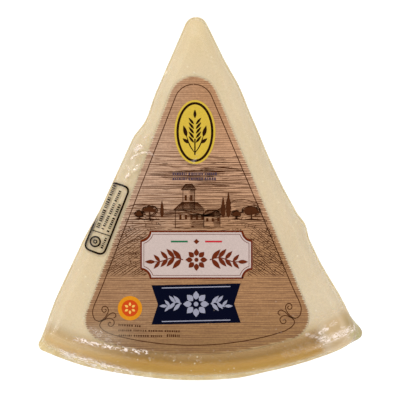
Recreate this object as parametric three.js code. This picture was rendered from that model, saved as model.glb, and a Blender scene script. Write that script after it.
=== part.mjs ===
// A wedge of hard, grainy cheese in a tight clear film pack, lying flat with its printed side up.
// Millimetres, +Z up. The origin is the middle of the footprint, on the surface the pack lies on.
// The tip of the wedge points toward +Y and its curved rind side toward -Y.
import * as THREE from "three";

// The wedge: a sector of a wheel 400 mm across with its film, from one flat layer of the wheel.
const wheelCentre = new THREE.Vector2(-2.9, 104.3);
const rindRadius = 198.2;
const layerHeight = 50;
const tipRadius = 5.6;
const leftCornerRadius = 4.5;
const rightCornerRadius = 9;

// The two cut sides, as angles in degrees from the wedge's long direction, by the distance in mm
// from the wheel's centre. They aren't quite straight: the film is tucked in at some places
// (humps) and drifts outward or inward past others (drifts).
const leftSide = {
  angle: 23.4,
  humps: [{ at: 66, reach: 14, by: -0.8 }],
  drifts: [
    { from: 68, to: 80, by: 1.15 },
    { from: 118, to: 140, by: 0.6 },
    { from: 170, to: 198, by: -0.55 },
  ],
};
const rightSide = {
  angle: 26,
  humps: [{ at: 49, reach: 18, by: 1.05 }, { at: 131.5, reach: 9, by: 0.65 }],
  drifts: [
    { from: 60, to: 94, by: -0.9 },
    { from: 105, to: 125, by: 0.4 },
    { from: 150, to: 178, by: 0.65 },
  ],
};

// How far the film rounds the edges over: inward on the sides, inward on the rind, and down.
const topShoulder = { side: 6.5, rind: 9, drop: 7, steps: 5 };
const baseShoulder = { side: 3.5, rind: 4.5, drop: 4, steps: 3 };
const tipTaper = 1.5;

// The weld between the upper and the lower web of film, at mid height all round. It stands out
// along the rind, widest at the left, and leaves a loose ear of film at the right-hand corner.
const seam = { height: 25, thickness: 0.8, ridge: 0.4, cornerRadius: 3 };
const rindFin = {
  reach: 2,
  leftRise: { from: 8, to: 19, by: 1.3 },
  rightFall: { from: 6, to: 12, by: -0.7 },
};
const ear = { from: 186, to: 195, by: 0.6 };

// Points round the outline.
const arcSteps = 44;
const cornerSteps = 7;
const sideSteps = 28;
const tipSteps = 10;

// The printed side: a label field with smaller fields of colour on it.
const printThickness = 0.3;
const printGap = 0.3;
const roundSteps = 16;
const label = { x: -2.8, y: 87.1, halfAngle: 22.05, radius: 168.7, tipRadius: 13.8, cornerRadius: 12 };
const badge = { x: -3.2, y: 34.9, width: 21.6, height: 33.6 };
const banner = { x: -2.4, y: -29.6, width: 59, height: 25.4, scoop: 5 };
const ribbon = { x: -2.6, y: -56.4, width: 48, height: 19.6, notch: 4, lean: 1 };
const seal = { x: -37.3, y: -57.6, width: 12.8, height: 12.8 };

const degree = Math.PI / 180;
const quarterTurn = Math.PI / 2;

// A smooth change past a stretch, and a smooth hump round a place.
function drifted(value, drift) {
  const t = Math.min(Math.max((value - drift.from) / (drift.to - drift.from), 0), 1);
  return drift.by * t * t * (3 - 2 * t);
}

function humped(value, hump) {
  const away = Math.min(Math.abs(value - hump.at) / hump.reach, 1);
  return (hump.by * (1 + Math.cos(Math.PI * away))) / 2;
}

function sideAngle(side, distance) {
  let angle = side.angle;
  for (const hump of side.humps) {
    angle += humped(distance, hump);
  }
  for (const drift of side.drifts) {
    angle += drifted(distance, drift);
  }
  return angle;
}

function finRadius(angle) {
  return rindRadius + rindFin.reach + drifted(-angle, rindFin.leftRise) + drifted(angle, rindFin.rightFall);
}

// A point of the wedge by its distance and angle from the wheel's centre.
function polar(distance, angle) {
  const x = wheelCentre.x + distance * Math.sin(angle * degree);
  const y = wheelCentre.y - distance * Math.cos(angle * degree);
  return new THREE.Vector2(x, y);
}

function arcPoints(centre, radius, fromAngle, toAngle, steps) {
  const points = [];
  for (let i = 0; i < steps; i++) {
    const angle = (fromAngle + ((toAngle - fromAngle) * i) / steps) * degree;
    const x = centre.x + radius * Math.cos(angle);
    const y = centre.y + radius * Math.sin(angle);
    points.push(new THREE.Vector2(x, y));
  }
  return points;
}

// A corner between the rind and a cut side: a circle that touches both.
function corner(level, side, radius, direction) {
  const reach = level.arcRadius(direction * side.angle) - radius;
  const halfTurn = Math.asin(radius / reach);
  const start = reach * Math.cos(halfTurn);
  const sideTurn = sideAngle(side, start) - Math.asin(level.inset / start) / degree;
  const angle = sideTurn - halfTurn / degree;
  return { reach, radius, start, angle, sideTurn };
}

// One level of the pack: the wedge's outline, counter-clockwise from the left end of the rind,
// moved inward by level.inset on its sides. Every level has the same number of points.
function wedgeOutline(level) {
  const left = corner(level, level.leftSide, level.leftCorner, -1);
  const right = corner(level, level.rightSide, level.rightCorner, 1);
  const rightCentre = polar(right.reach, right.angle);
  const leftCentre = polar(left.reach, -left.angle);

  const tipLeft = level.leftSide.angle;
  const tipRight = level.rightSide.angle;
  const tipReach = (level.tipRadius + level.inset) / Math.sin(((tipRight + tipLeft) / 2) * degree);
  const tipCentre = polar(tipReach, (tipRight - tipLeft) / 2);
  const tipStart = Math.sqrt(tipReach ** 2 - (level.tipRadius + level.inset) ** 2);

  const points = [];
  for (let i = 0; i < arcSteps; i++) {
    const angle = -left.angle + ((right.angle + left.angle) * i) / arcSteps;
    points.push(polar(level.arcRadius(angle), angle));
  }
  points.push(...arcPoints(rightCentre, right.radius, right.angle - 90, right.sideTurn, cornerSteps));
  for (let i = 0; i < sideSteps; i++) {
    const distance = right.start + ((tipStart - right.start) * i) / sideSteps;
    const angle = sideAngle(level.rightSide, distance) - Math.asin(level.inset / distance) / degree;
    points.push(polar(distance, angle));
  }
  points.push(...arcPoints(tipCentre, level.tipRadius, tipRight, 180 - tipLeft, tipSteps));
  for (let i = 0; i < sideSteps; i++) {
    const distance = tipStart + ((left.start - tipStart) * i) / sideSteps;
    const angle = sideAngle(level.leftSide, distance) - Math.asin(level.inset / distance) / degree;
    points.push(polar(distance, -angle));
  }
  points.push(...arcPoints(leftCentre, left.radius, 180 - left.sideTurn, 270 - left.angle, cornerSteps));
  return points;
}

// The filled pack at a share of a shoulder: 0 is the full outline, 1 the edge of the flat face.
function bodyLevel(shoulder, share, height) {
  const points = wedgeOutline({
    inset: seam.ridge + shoulder.side * share,
    arcRadius: () => rindRadius - shoulder.rind * share,
    leftSide,
    rightSide,
    leftCorner: leftCornerRadius,
    rightCorner: rightCornerRadius,
    tipRadius: tipRadius - tipTaper * share,
  });
  return { height, points };
}

// The outer edge of the weld, with its ear.
function seamLevel(height) {
  const points = wedgeOutline({
    inset: 0,
    arcRadius: finRadius,
    leftSide,
    rightSide: { ...rightSide, drifts: [...rightSide.drifts, ear] },
    leftCorner: seam.cornerRadius,
    rightCorner: seam.cornerRadius,
    tipRadius: tipRadius + seam.ridge,
  });
  return { height, points };
}

// A closed solid through a stack of levels, from the lowest to the highest, capped flat.
function stackedSolid(levels) {
  const positions = [];
  const indices = [];
  const count = levels[0].points.length;
  for (const level of levels) {
    for (const point of level.points) {
      positions.push(point.x, point.y, level.height);
    }
  }
  for (let start = 0; start < (levels.length - 1) * count; start += count) {
    for (let i = 0; i < count; i++) {
      const here = start + i;
      const next = start + ((i + 1) % count);
      indices.push(here, next, next + count);
      indices.push(here, next + count, here + count);
    }
  }
  const lowest = levels[0];
  const highest = levels[levels.length - 1];
  const baseMiddle = positions.length / 3;
  const topMiddle = baseMiddle + 1;
  const topStart = baseMiddle - count;
  const middle = new THREE.Box2().setFromPoints(lowest.points).getCenter(new THREE.Vector2());
  positions.push(middle.x, middle.y, lowest.height);
  positions.push(middle.x, middle.y, highest.height);
  for (let i = 0; i < count; i++) {
    const next = (i + 1) % count;
    indices.push(baseMiddle, next, i);
    indices.push(topMiddle, topStart + i, topStart + next);
  }
  const geometry = new THREE.BufferGeometry();
  geometry.setAttribute("position", new THREE.Float32BufferAttribute(positions, 3));
  geometry.setIndex(indices);
  geometry.computeVertexNormals();
  return geometry;
}

function filmPack() {
  const levels = [];
  for (let i = 0; i <= baseShoulder.steps; i++) {
    const turn = (quarterTurn * i) / baseShoulder.steps;
    const height = baseShoulder.drop * (1 - Math.cos(turn));
    levels.push(bodyLevel(baseShoulder, 1 - Math.sin(turn), height));
  }
  const weldUnderside = seam.height - seam.thickness / 2;
  const weldTop = seam.height + seam.thickness / 2;
  levels.push(bodyLevel(baseShoulder, 0, weldUnderside));
  levels.push(seamLevel(weldUnderside));
  levels.push(seamLevel(weldTop));
  levels.push(bodyLevel(topShoulder, 0, weldTop));
  for (let i = 0; i <= topShoulder.steps; i++) {
    const turn = (quarterTurn * i) / topShoulder.steps;
    const height = layerHeight - topShoulder.drop * (1 - Math.sin(turn));
    levels.push(bodyLevel(topShoulder, 1 - Math.cos(turn), height));
  }
  return stackedSolid(levels);
}

// The label's outline: a sector with its three corners rounded.
function labelShape() {
  const half = label.halfAngle * degree;
  const reach = label.radius - label.cornerRadius;
  const turn = half - Math.asin(label.cornerRadius / reach);
  const cornerX = reach * Math.sin(turn);
  const cornerY = label.y - reach * Math.cos(turn);
  const tipY = label.y - label.tipRadius / Math.sin(half);
  const leftTurn = Math.PI - half;
  const rindTurn = 3 * quarterTurn - turn;
  const shape = new THREE.Shape();
  shape.absarc(label.x, label.y, label.radius, -quarterTurn - turn, turn - quarterTurn, false);
  shape.absarc(label.x + cornerX, cornerY, label.cornerRadius, turn - quarterTurn, half, false);
  shape.absarc(label.x, tipY, label.tipRadius, half, leftTurn, false);
  shape.absarc(label.x - cornerX, cornerY, label.cornerRadius, leftTurn, rindTurn, false);
  return shape;
}

function ovalShape(field) {
  const shape = new THREE.Shape();
  shape.absellipse(field.x, field.y, field.width / 2, field.height / 2, 0, 4 * quarterTurn, false, 0);
  return shape;
}

// A plate whose four corners are scooped out.
function scoopedShape(field) {
  const right = field.x + field.width / 2;
  const left = field.x - field.width / 2;
  const top = field.y + field.height / 2;
  const bottom = field.y - field.height / 2;
  const shape = new THREE.Shape();
  shape.absarc(right, bottom, field.scoop, 2 * quarterTurn, quarterTurn, true);
  shape.absarc(right, top, field.scoop, 3 * quarterTurn, 2 * quarterTurn, true);
  shape.absarc(left, top, field.scoop, 0, -quarterTurn, true);
  shape.absarc(left, bottom, field.scoop, quarterTurn, 0, true);
  return shape;
}

// A leaning band with a notch cut into each end.
function ribbonShape(field) {
  const right = field.x + field.width / 2;
  const left = field.x - field.width / 2;
  const top = field.y + field.height / 2;
  const bottom = field.y - field.height / 2;
  const shape = new THREE.Shape();
  shape.moveTo(left, bottom);
  shape.lineTo(right, bottom + field.lean);
  shape.lineTo(right - field.notch, field.y + field.lean / 2);
  shape.lineTo(right, top);
  shape.lineTo(left, top - field.lean);
  shape.lineTo(left + field.notch, field.y - field.lean / 2);
  return shape;
}

function printedField(shape) {
  const settings = { depth: printThickness, bevelEnabled: false, curveSegments: roundSteps };
  return new THREE.ExtrudeGeometry(shape, settings);
}

function piece(name, geometry, height, colour, roughness) {
  const material = new THREE.MeshStandardMaterial({ color: colour, roughness, metalness: 0 });
  const mesh = new THREE.Mesh(geometry, material);
  mesh.name = name;
  mesh.position.z = height;
  return mesh;
}

const labelHeight = layerHeight + printGap;
const fieldHeight = labelHeight + printThickness + printGap;

const cheesePack = new THREE.Group();
cheesePack.name = "cheese_wedge_pack";
cheesePack.add(piece("film_pack", filmPack(), 0, "#e0cdab", 0.2));
cheesePack.add(piece("label_field", printedField(labelShape()), labelHeight, "#ab8560", 0.45));
cheesePack.add(piece("badge_field", printedField(ovalShape(badge)), fieldHeight, "#dbbc45", 0.4));
cheesePack.add(piece("banner_field", printedField(scoopedShape(banner)), fieldHeight, "#cdb9b4", 0.4));
cheesePack.add(piece("ribbon_field", printedField(ribbonShape(ribbon)), fieldHeight, "#080a1c", 0.4));
cheesePack.add(piece("seal_field", printedField(ovalShape(seal)), fieldHeight, "#e6961b", 0.4));

export default cheesePack;
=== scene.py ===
# Blender 4.5. A wedge of hard, grainy cheese in tight clear film with a printed top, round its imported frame.
import math
import bpy
import numpy as np
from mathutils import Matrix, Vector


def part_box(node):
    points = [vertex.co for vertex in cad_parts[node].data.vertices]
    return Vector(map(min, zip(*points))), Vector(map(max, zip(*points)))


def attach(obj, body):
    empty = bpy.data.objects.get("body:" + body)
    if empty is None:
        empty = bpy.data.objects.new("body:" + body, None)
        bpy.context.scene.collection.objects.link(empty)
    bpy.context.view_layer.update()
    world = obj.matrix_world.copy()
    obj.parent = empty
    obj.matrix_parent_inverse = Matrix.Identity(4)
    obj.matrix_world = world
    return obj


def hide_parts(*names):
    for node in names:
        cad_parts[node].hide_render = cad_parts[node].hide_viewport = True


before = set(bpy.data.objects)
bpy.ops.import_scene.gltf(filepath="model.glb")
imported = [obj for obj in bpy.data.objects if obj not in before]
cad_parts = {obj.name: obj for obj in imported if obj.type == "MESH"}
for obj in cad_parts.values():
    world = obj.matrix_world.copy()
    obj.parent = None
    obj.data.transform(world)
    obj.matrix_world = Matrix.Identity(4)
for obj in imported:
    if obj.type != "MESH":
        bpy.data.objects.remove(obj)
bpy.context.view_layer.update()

mm = 0.001

# Where the pack is, from the frame.
packLow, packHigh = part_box("film_pack")
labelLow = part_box("label_field")[0]
inkHeight = labelLow.z / mm
print("frame: the pack is %.1f mm long" % ((packHigh.y - packLow.y) / mm))


# Small helpers

def addNode(tree, kind, inputs=(), stops=(), **settings):
    # one node with its settings and links; where an input is given a node, that node's first output is linked
    node = tree.nodes.new("ShaderNode" + kind)
    for key, value in settings.items():
        setattr(node, key, value)
    for key, value in (inputs.items() if isinstance(inputs, dict) else enumerate(inputs)):
        if isinstance(value, bpy.types.Node):
            value = value.outputs[0]
        if isinstance(value, bpy.types.NodeSocket):
            tree.links.new(value, node.inputs[key])
        else:
            node.inputs[key].default_value = value
    for i, (place, colour) in enumerate(stops):  # of a colour ramp: hex colours, or their three linear parts
        elements = node.color_ramp.elements
        if i == 0:
            elements.remove(elements[-1])
        element = elements[0] if i == 0 else elements.new(place)
        element.position = place
        element.color = ink(colour) if isinstance(colour, str) else (*colour, 1)
    return node


def ink(hexColour):
    parts = [int(hexColour[i:i + 2], 16) / 255 for i in (1, 3, 5)]
    linear = [p / 12.92 if p <= 0.04045 else ((p + 0.055) / 1.055) ** 2.4 for p in parts]
    return (*linear, 1.0)


def newMaterial(name):
    material = bpy.data.materials.new(name)
    material.use_nodes = True
    tree = material.node_tree
    tree.nodes.clear()
    return material, tree, addNode(tree, "TexCoord").outputs["Object"]


def metres(values):
    return [value * mm for value in values]


def perCell(size):
    # the scale of a pattern whose cells have this size in mm
    return 1 / (size * mm)


def filmMirror(tree, bump, straight):
    # how much a thin clear film mirrors: the same from both of its sides, least where seen straight on
    facing = addNode(tree, "LayerWeight", {"Blend": 0.5, "Normal": bump}).outputs["Facing"]
    grazing = addNode(tree, "Math", (facing, 5.0), operation="POWER")
    return addNode(tree, "Math", (grazing, film["grazing"], straight), operation="MULTIPLY_ADD")


def deselectAll():
    if bpy.context.object and bpy.context.object.mode != "OBJECT":
        bpy.ops.object.mode_set(mode="OBJECT")
    bpy.ops.object.select_all(action="DESELECT")


def makeActive(piece):
    deselectAll()
    piece.select_set(True)
    bpy.context.view_layer.objects.active = piece


def applyModifier(piece, kind, **settings):
    makeActive(piece)
    modifier = piece.modifiers.new(kind.lower(), kind)
    for key, value in settings.items():
        setattr(modifier, key, value)
    bpy.ops.object.modifier_apply(modifier=modifier.name)


def coordinates(piece):
    points = np.empty(len(piece.data.vertices) * 3)
    piece.data.vertices.foreach_get("co", points)
    return points.reshape(-1, 3)


def setCoordinates(piece, points):
    piece.data.vertices.foreach_set("co", np.asarray(points, float).ravel())
    piece.data.update()


def normals(piece):
    found = np.empty(len(piece.data.vertices) * 3)
    piece.data.vertices.foreach_get("normal", found)
    return found.reshape(-1, 3)


def setAttribute(piece, name, values):
    layer = piece.data.attributes.new(name, "FLOAT", "POINT")
    layer.data.foreach_set("value", np.asarray(values, np.float32))


def finishPiece(piece, name, material, replaced=()):
    piece.name = name
    piece.data.name = name
    piece.data.materials.clear()
    piece.data.materials.append(material)
    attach(piece, "root")
    if replaced:
        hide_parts(*replaced)


# The wedge's outline, in mm and degrees, as the part is drawn

wedge = {
    "centre": (-2.9, 104.3),
    "rind": 198.2,
    "tip": 5.6,
    "leftCorner": 4.5,
    "rightCorner": 9.0,
    "steps": {"arc": 150, "corner": 14, "side": 120, "tip": 18},
}
leftSide = {
    "angle": 23.4,
    "humps": [(66, 14, -0.8)],
    "drifts": [(68, 80, 1.15), (118, 140, 0.6), (170, 198, -0.55)],
}
rightSide = {
    "angle": 26.0,
    "humps": [(49, 18, 1.05), (131.5, 9, 0.65)],
    "drifts": [(60, 94, -0.9), (105, 125, 0.4), (150, 178, 0.65)],
}
earSide = {
    "angle": rightSide["angle"],
    "humps": rightSide["humps"],
    "drifts": rightSide["drifts"] + [(186, 195, 0.6)],
}


def drifted(value, start, end, by):
    t = np.clip((value - start) / (end - start), 0, 1)
    return by * t * t * (3 - 2 * t)


def humped(value, at, reach, by):
    away = np.minimum(np.abs(value - at) / reach, 1)
    return by * (1 + np.cos(math.pi * away)) / 2


def sideAngle(side, distance):
    angle = side["angle"]
    for at, reach, by in side["humps"]:
        angle = angle + humped(distance, at, reach, by)
    for start, end, by in side["drifts"]:
        angle = angle + drifted(distance, start, end, by)
    return angle


def polar(distance, angle):
    x = wedge["centre"][0] + distance * np.sin(np.radians(angle))
    y = wedge["centre"][1] - distance * np.cos(np.radians(angle))
    return np.stack([x, y], axis=-1)


def arcRun(centre, radius, start, end, steps):
    angle = np.radians(start + (end - start) * np.arange(steps) / steps)
    return centre + radius * np.stack([np.cos(angle), np.sin(angle)], axis=-1)


def cornerCircle(side, inset, arcRadius, radius, direction):
    reach = arcRadius(direction * side["angle"]) - radius
    halfTurn = math.degrees(math.asin(radius / reach))
    start = reach * math.cos(math.radians(halfTurn))
    sideTurn = float(sideAngle(side, start)) - math.degrees(math.asin(inset / start))
    return {"reach": reach, "start": start, "turn": sideTurn - halfTurn, "side": sideTurn}


def wedgeLoop(inset, arcRadius, tip, leftCorner, rightCorner, right=rightSide):
    steps = wedge["steps"]
    a = cornerCircle(leftSide, inset, arcRadius, leftCorner, -1)
    b = cornerCircle(right, inset, arcRadius, rightCorner, 1)
    tipLeft, tipRight = leftSide["angle"], right["angle"]
    tipReach = (tip + inset) / math.sin(math.radians((tipLeft + tipRight) / 2))
    tipStart = math.sqrt(tipReach ** 2 - (tip + inset) ** 2)
    share = np.arange(steps["arc"]) / steps["arc"]
    arcAngle = -a["turn"] + (b["turn"] + a["turn"]) * share
    run = np.arange(steps["side"]) / steps["side"]
    upRight = b["start"] + (tipStart - b["start"]) * run
    downLeft = tipStart + (a["start"] - tipStart) * run
    rightTurn = sideAngle(right, upRight) - np.degrees(np.arcsin(inset / upRight))
    leftTurn = sideAngle(leftSide, downLeft) - np.degrees(np.arcsin(inset / downLeft))
    return np.concatenate([
        polar(np.array([arcRadius(v) for v in arcAngle]), arcAngle),
        arcRun(polar(b["reach"], b["turn"]), rightCorner, b["turn"] - 90, b["side"], steps["corner"]),
        polar(upRight, rightTurn),
        arcRun(polar(tipReach, (tipRight - tipLeft) / 2), tip, tipRight, 180 - tipLeft, steps["tip"]),
        polar(downLeft, -leftTurn),
        arcRun(polar(a["reach"], -a["turn"]), leftCorner, 180 - a["side"], 270 - a["turn"], steps["corner"]),
    ])


weld = {
    "out": 0.25,            # how far its line stands out from the cut sides' own
    "overRind": 2.5,
    "blunter": 0.65,        # how much rounder it is at the tip than the wedge
    "corner": 3.2,
    "drifts": [(-8, -19, 1.3), (6, 12, -1.0), (22, 26, -1.2)],     # where it drifts out and in, in degrees
    "thickness": 0.35,
    "root": 0.02,           # the share of its width that lies inside the film
    "across": 7,
    "ripple": 0.5,
    "rippleCounts": (23, 37, 58, 91),
    "crimps": 2.381,        # sizes of its crimps and of its milky patches
    "patches": 6.25,
    # the crease colour is a painted highlight: white glints along the weld's creases
    "pale": "#f0e1b8", "ear": "#b5a274", "paintedGlint": "#fff8f0",
    "clear": (0.97, 0.93, 0.80, 1),
}


def finRadius(angle):
    turns = sum(float(drifted(angle, *drift)) for drift in weld["drifts"])
    return wedge["rind"] + weld["overRind"] + turns


def weldLoop():
    corner = weld["corner"]
    return wedgeLoop(-weld["out"], finRadius, wedge["tip"] + weld["blunter"], corner, corner, earSide)


def wheelPlace(x, y):
    dx, dy = x - wedge["centre"][0], wedge["centre"][1] - y
    return np.hypot(dx, dy), np.degrees(np.arctan2(dx, dy))


def wrapGrid(rows):
    # a grid wrapped round through rows of points, each row a closed loop; its seam is still open
    deselectAll()
    bpy.ops.mesh.primitive_grid_add(x_subdivisions=len(rows[0]), y_subdivisions=len(rows) - 1, size=1)
    piece = bpy.context.object
    setCoordinates(piece, np.vstack([np.vstack([row, row[:1]]) for row in rows]) * mm)
    return piece


def closeSeam():
    bpy.ops.object.mode_set(mode="EDIT")
    bpy.ops.mesh.select_all(action="SELECT")
    bpy.ops.mesh.remove_doubles(threshold=1e-7)
    bpy.ops.mesh.select_all(action="DESELECT")


def capSelected():
    bpy.ops.mesh.edge_face_add()
    bpy.ops.mesh.select_all(action="SELECT")
    bpy.ops.mesh.normals_make_consistent(inside=False)
    bpy.ops.object.mode_set(mode="OBJECT")


def faceUp(piece):
    if piece.data.polygons[0].normal.z < 0:
        bpy.ops.object.mode_set(mode="EDIT")
        bpy.ops.mesh.select_all(action="SELECT")
        bpy.ops.mesh.flip_normals()
        bpy.ops.object.mode_set(mode="OBJECT")


def addLoft(levels):
    # loops stacked up and capped at both ends
    piece = wrapGrid([np.column_stack([loop, np.full(len(loop), height)]) for height, loop in levels])
    closeSeam()
    bpy.ops.mesh.select_non_manifold()
    capSelected()
    return piece


body = {
    "inset": 0.2,           # how far the cut sides stand inside the weld's line
    "sideShoulder": 9.0,    # how far in the top's rounding reaches, on the cut sides
    "rindShoulder": 10.0,
    "topDrop": 9.0,         # and how far down
    "soft": 2.3,            # the power of its curve: 2 is a circle, more is squarer
    "baseShoulder": 3.5,
    "baseRind": 4.5,
    "baseDrop": 4.0,
    "tipShoulder": 1.5,
    "levels": {"base": 6, "side": 13, "top": 14},
}


# The film

film = {
    "top": 51.0,            # height of the film over the print
    "weld": 25.0,           # height of the weld between the two webs
    "earMiddle": (83, -72), # of the loose ear at the right corner
    "earSpread": (22, 4),   # how far from there the film starts to leave the cheese, and is all out
    "earReach": 19.0,       # how far above and below the weld the ear starts
    "earTent": 1.7,         # how sharply it closes in on the weld
    "voxel": 1.05,
    "waveSize": 24.0,
    "waveHeight": 0.45,
    "flatBase": (1.5, 8),   # heights between which the waves fade in, as the base lies flat
    "refined": 1.8,         # how far from a fold the mesh is cut finer
    "ridges": 3.846,        # sizes in its patterns: the crinkles' ridges, the swells between them,
    "swells": 11.11,        # the patches of the ear's tone, the breaks in the painted hair highlights, the fray of the painted crest highlights
    "patches": 9.091,
    "breaks": 2.381,
    "frays": 0.7143,        # drawn as coarse as they need to be to show
    "grazing": 0.22,        # how much more it mirrors where it is seen edge on
    "gloss": (0.022, 0.09), # how much it mirrors straight on, where smooth and where crinkled
    "clear": (0.985, 0.985, 0.975, 1),
    "milk": 0.92,           # how milky it is where fully slack
    "slackStart": "#f8e6c6", "slack": "#d3b68a",
    "ear": ("#b19764", "#ada055"),
    "paintedGlint": "#fbeadd",    # painted highlight: the white of the glints on folds and creases
}
glintSets = [
    # painted highlights, sets of white hair lines: the field it lies in, heading, size of the noise it follows
    # in mm, half width of its lines
    ("leftGlints", -17, (2.6, 1.1, 5), 0.11),
    ("weldGlints", -22, (9.0, 1.1, 9), 0.07),
    ("weldGlints", -12, (5.0, 0.9, 7), 0.05),
    ("rightGlints", 25, (4.0, 0.8, 6), 0.09),
    ("rightGlints", -14, (2.2, 0.9, 4), 0.06),
    ("wallGlints", 0, (1.7, 1.7, 12), 0.05),
]


def shoulderShare(depth, power):
    # how far in a shoulder has come, 1 at its foot and 0 at its flat
    return 1 - (1 - min(max(depth, 0), 1) ** power) ** (1 / power)


def bodyLoop(height, gap, low, high, rightCorner):
    # the pack's outline at a height; the cheese is the same shape, a gap further in
    share, side, rind = 0.0, 0.0, 0.0
    if height < low + body["baseDrop"]:
        share = shoulderShare(1 - (height - low) / body["baseDrop"], 2)
        side, rind = body["baseShoulder"], body["baseRind"]
    elif height > high - body["topDrop"]:
        share = shoulderShare(1 - (high - height) / body["topDrop"], body["soft"])
        side, rind = body["sideShoulder"], body["rindShoulder"]

    def rindRadius(angle):
        return wedge["rind"] - gap - rind * share

    return wedgeLoop(body["inset"] + gap + side * share, rindRadius,
                     wedge["tip"] - gap / 2 - body["tipShoulder"] * share, wedge["leftCorner"], rightCorner)


def bodyHeights(low, high):
    count = body["levels"]
    base = [low + body["baseDrop"] * (1 - math.cos(t)) for t in np.linspace(0, math.pi / 2, count["base"])]
    side = list(np.linspace(low + body["baseDrop"], high - body["topDrop"], count["side"]))[1:-1]
    top = [high - body["topDrop"] * (1 - math.sin(t)) for t in np.linspace(0, math.pi / 2, count["top"])]
    return base + side + top


def filmLoop(height):
    loop = bodyLoop(height, 0, 0, film["top"], wedge["rightCorner"])
    tent = max(0.0, 1 - abs(height - film["weld"]) / film["earReach"]) ** film["earTent"]
    away = np.hypot(*(loop - film["earMiddle"]).T)
    pull = drifted(away, *film["earSpread"], 1.0) * tent
    return loop + (weldLoop() - loop) * pull[:, None]


folding = {
    "margin": 4,            # how far round a side fold the vertices are looked at
    "offWall": 2.5,         # how far off its own line a side fold fades out
    "topFrom": 36,          # the height from which the top's folds reach, and are cut finer
    "finerFrom": 40,
    "crestGlint": 0.42,          # the painted crest highlight's share of a fold's half width
}


def pressSideFolds(points, outward, folds):
    # raises the walls along each fold
    lift = np.zeros(len(points))
    margin = folding["margin"]
    for *place, bend, width, height in folds:
        start, end = np.array(place[:3]), np.array(place[3:])
        along = end - start
        length = np.linalg.norm(along)
        above = (points > np.minimum(start, end) - margin).all(axis=1)
        near = above & (points < np.maximum(start, end) + margin).all(axis=1)
        if not near.any():
            continue
        local = points[near] - start
        t = np.clip(local @ along / length ** 2, 0, 1)
        across = np.einsum("ij,ij->i", local, np.cross(outward[near], along / length))
        sideways = across - bend * np.sin(math.pi * t)
        beyond = np.linalg.norm(local - t[:, None] * along, axis=1)
        outside = np.maximum(beyond - np.abs(across), 0)
        fade = np.sin(math.pi * np.clip(t, 0.02, 0.98)) ** 0.6
        lift[near] += (height * fade * np.exp(-(sideways / width) ** 2)
                       * np.exp(-(outside / folding["offWall"]) ** 2))
    return lift


photo = {"pixel": 0.5284, "middle": (200.5, 198)}      # what a pixel spans, and the frame's origin in it


def photoPlace(px, py):
    # the photo's pixels to mm in the frame
    return (px - photo["middle"][0]) * photo["pixel"], (photo["middle"][1] - py) * photo["pixel"]


def foldsAlong(random, path, count, stray, length, width, turn, steep, white):
    # short folds strewn along a line over the flat top, heading roughly its way
    path = np.array([photoPlace(*p) for p in path])
    found = []
    for _ in range(count):
        k = random.integers(len(path) - 1)
        step = path[k + 1] - path[k]
        step = step / np.linalg.norm(step)
        at = path[k] + (path[k + 1] - path[k]) * random.random()
        at = at + np.array([-step[1], step[0]]) * random.normal(0, stray)
        lean = math.radians(random.normal(0, turn))
        heading = np.array([step[0] * math.cos(lean) - step[1] * math.sin(lean),
                            step[0] * math.sin(lean) + step[1] * math.cos(lean)])
        half = heading * random.uniform(*length) / 2
        foot = random.uniform(*width)
        bend = random.uniform(-0.5, 0.5)
        rise = foot * random.uniform(*steep)
        found.append((*(at - half), *(at + half), bend, foot, rise, white * random.uniform(0.5, 1)))
    return found


# Single folds, given one by one: both ends in the photo's pixels, sideways bend, half width, height, how
# bright a highlight is painted on the crest
tuckFolds = [  # the tuck on the left, where long folds fan in over the shoulder
    ((130, 159), (139.5, 154), 0.5, 0.65, 0.3, 1.0), ((139.5, 154), (149.5, 153), 0.7, 0.65, 0.3, 0.9),
    ((149.5, 153), (155, 158), 0.5, 0.6, 0.25, 0.3), ((133.5, 151.5), (143.5, 147), 0.4, 1.7, 0.7, 0.9),
    ((135, 148), (141, 145), 0.2, 1.0, 0.45, 0.9), ((133.5, 145.6), (139.5, 144), 0.2, 0.5, 0.2, 0.6),
    ((143.5, 138.4), (147.5, 135.6), 0.1, 0.7, 0.3, 0.8), ((151, 138), (154, 136.5), 0.1, 0.6, 0.25, 0.6),
    ((132, 171), (139, 166), -0.4, 0.8, 0.35, 0.45), ((135, 168), (141, 163.5), 0.2, 0.6, 0.25, 0.35),
    ((124.5, 178), (130.5, 174), 0.2, 1.0, 0.45, 1.0), ((126, 176), (129, 173), 0.2, 0.5, 0.2, 0.7),
    ((127, 165), (131, 171), -0.3, 0.6, 0.25, 0.35), ((146, 150), (152, 156), 0.6, 0.7, 0.3, 0.3),
]
chainFolds = [  # the chain at the lower left, below the print
    ((77, 337), (83, 339.5), 0.3, 0.45, 0.2, 0.9), ((81, 338), (85, 336.5), 0.1, 0.5, 0.2, 0.8),
    ((91.5, 341), (97.5, 344), 0.4, 0.5, 0.2, 1.0), ((92, 343.5), (95, 341.5), 0.2, 0.5, 0.2, 0.8),
    ((101, 344), (108, 346), -0.3, 0.45, 0.2, 1.0), ((106, 346.5), (111, 344), 0.2, 0.5, 0.2, 0.8),
    ((112, 346.5), (121, 347), 0.3, 0.45, 0.2, 0.9), ((125, 348), (131, 346.5), 0.2, 0.4, 0.2, 0.5),
    ((134, 349), (141, 349), 0.2, 0.4, 0.2, 0.4), ((95.5, 332.5), (99, 330), 0.8, 0.36, 0.15, 0.8),
    ((99, 330), (102.5, 333), 0.8, 0.36, 0.15, 0.8), ((102.5, 333), (96, 334), 0.9, 0.36, 0.15, 0.8),
]
cornerFolds = [  # broad folds at the right corner with pale painted highlights, under a net of painted glints
    ((325, 337), (335, 333), 0.4, 2.6, 0.5, 0.26), ((334, 334), (343, 330), 0.4, 2.4, 0.5, 0.34),
    ((340, 331), (350, 328), 0.3, 2.0, 0.5, 0.38), ((327, 341), (337, 338), 0.3, 1.8, 0.4, 0.20),
]
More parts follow.
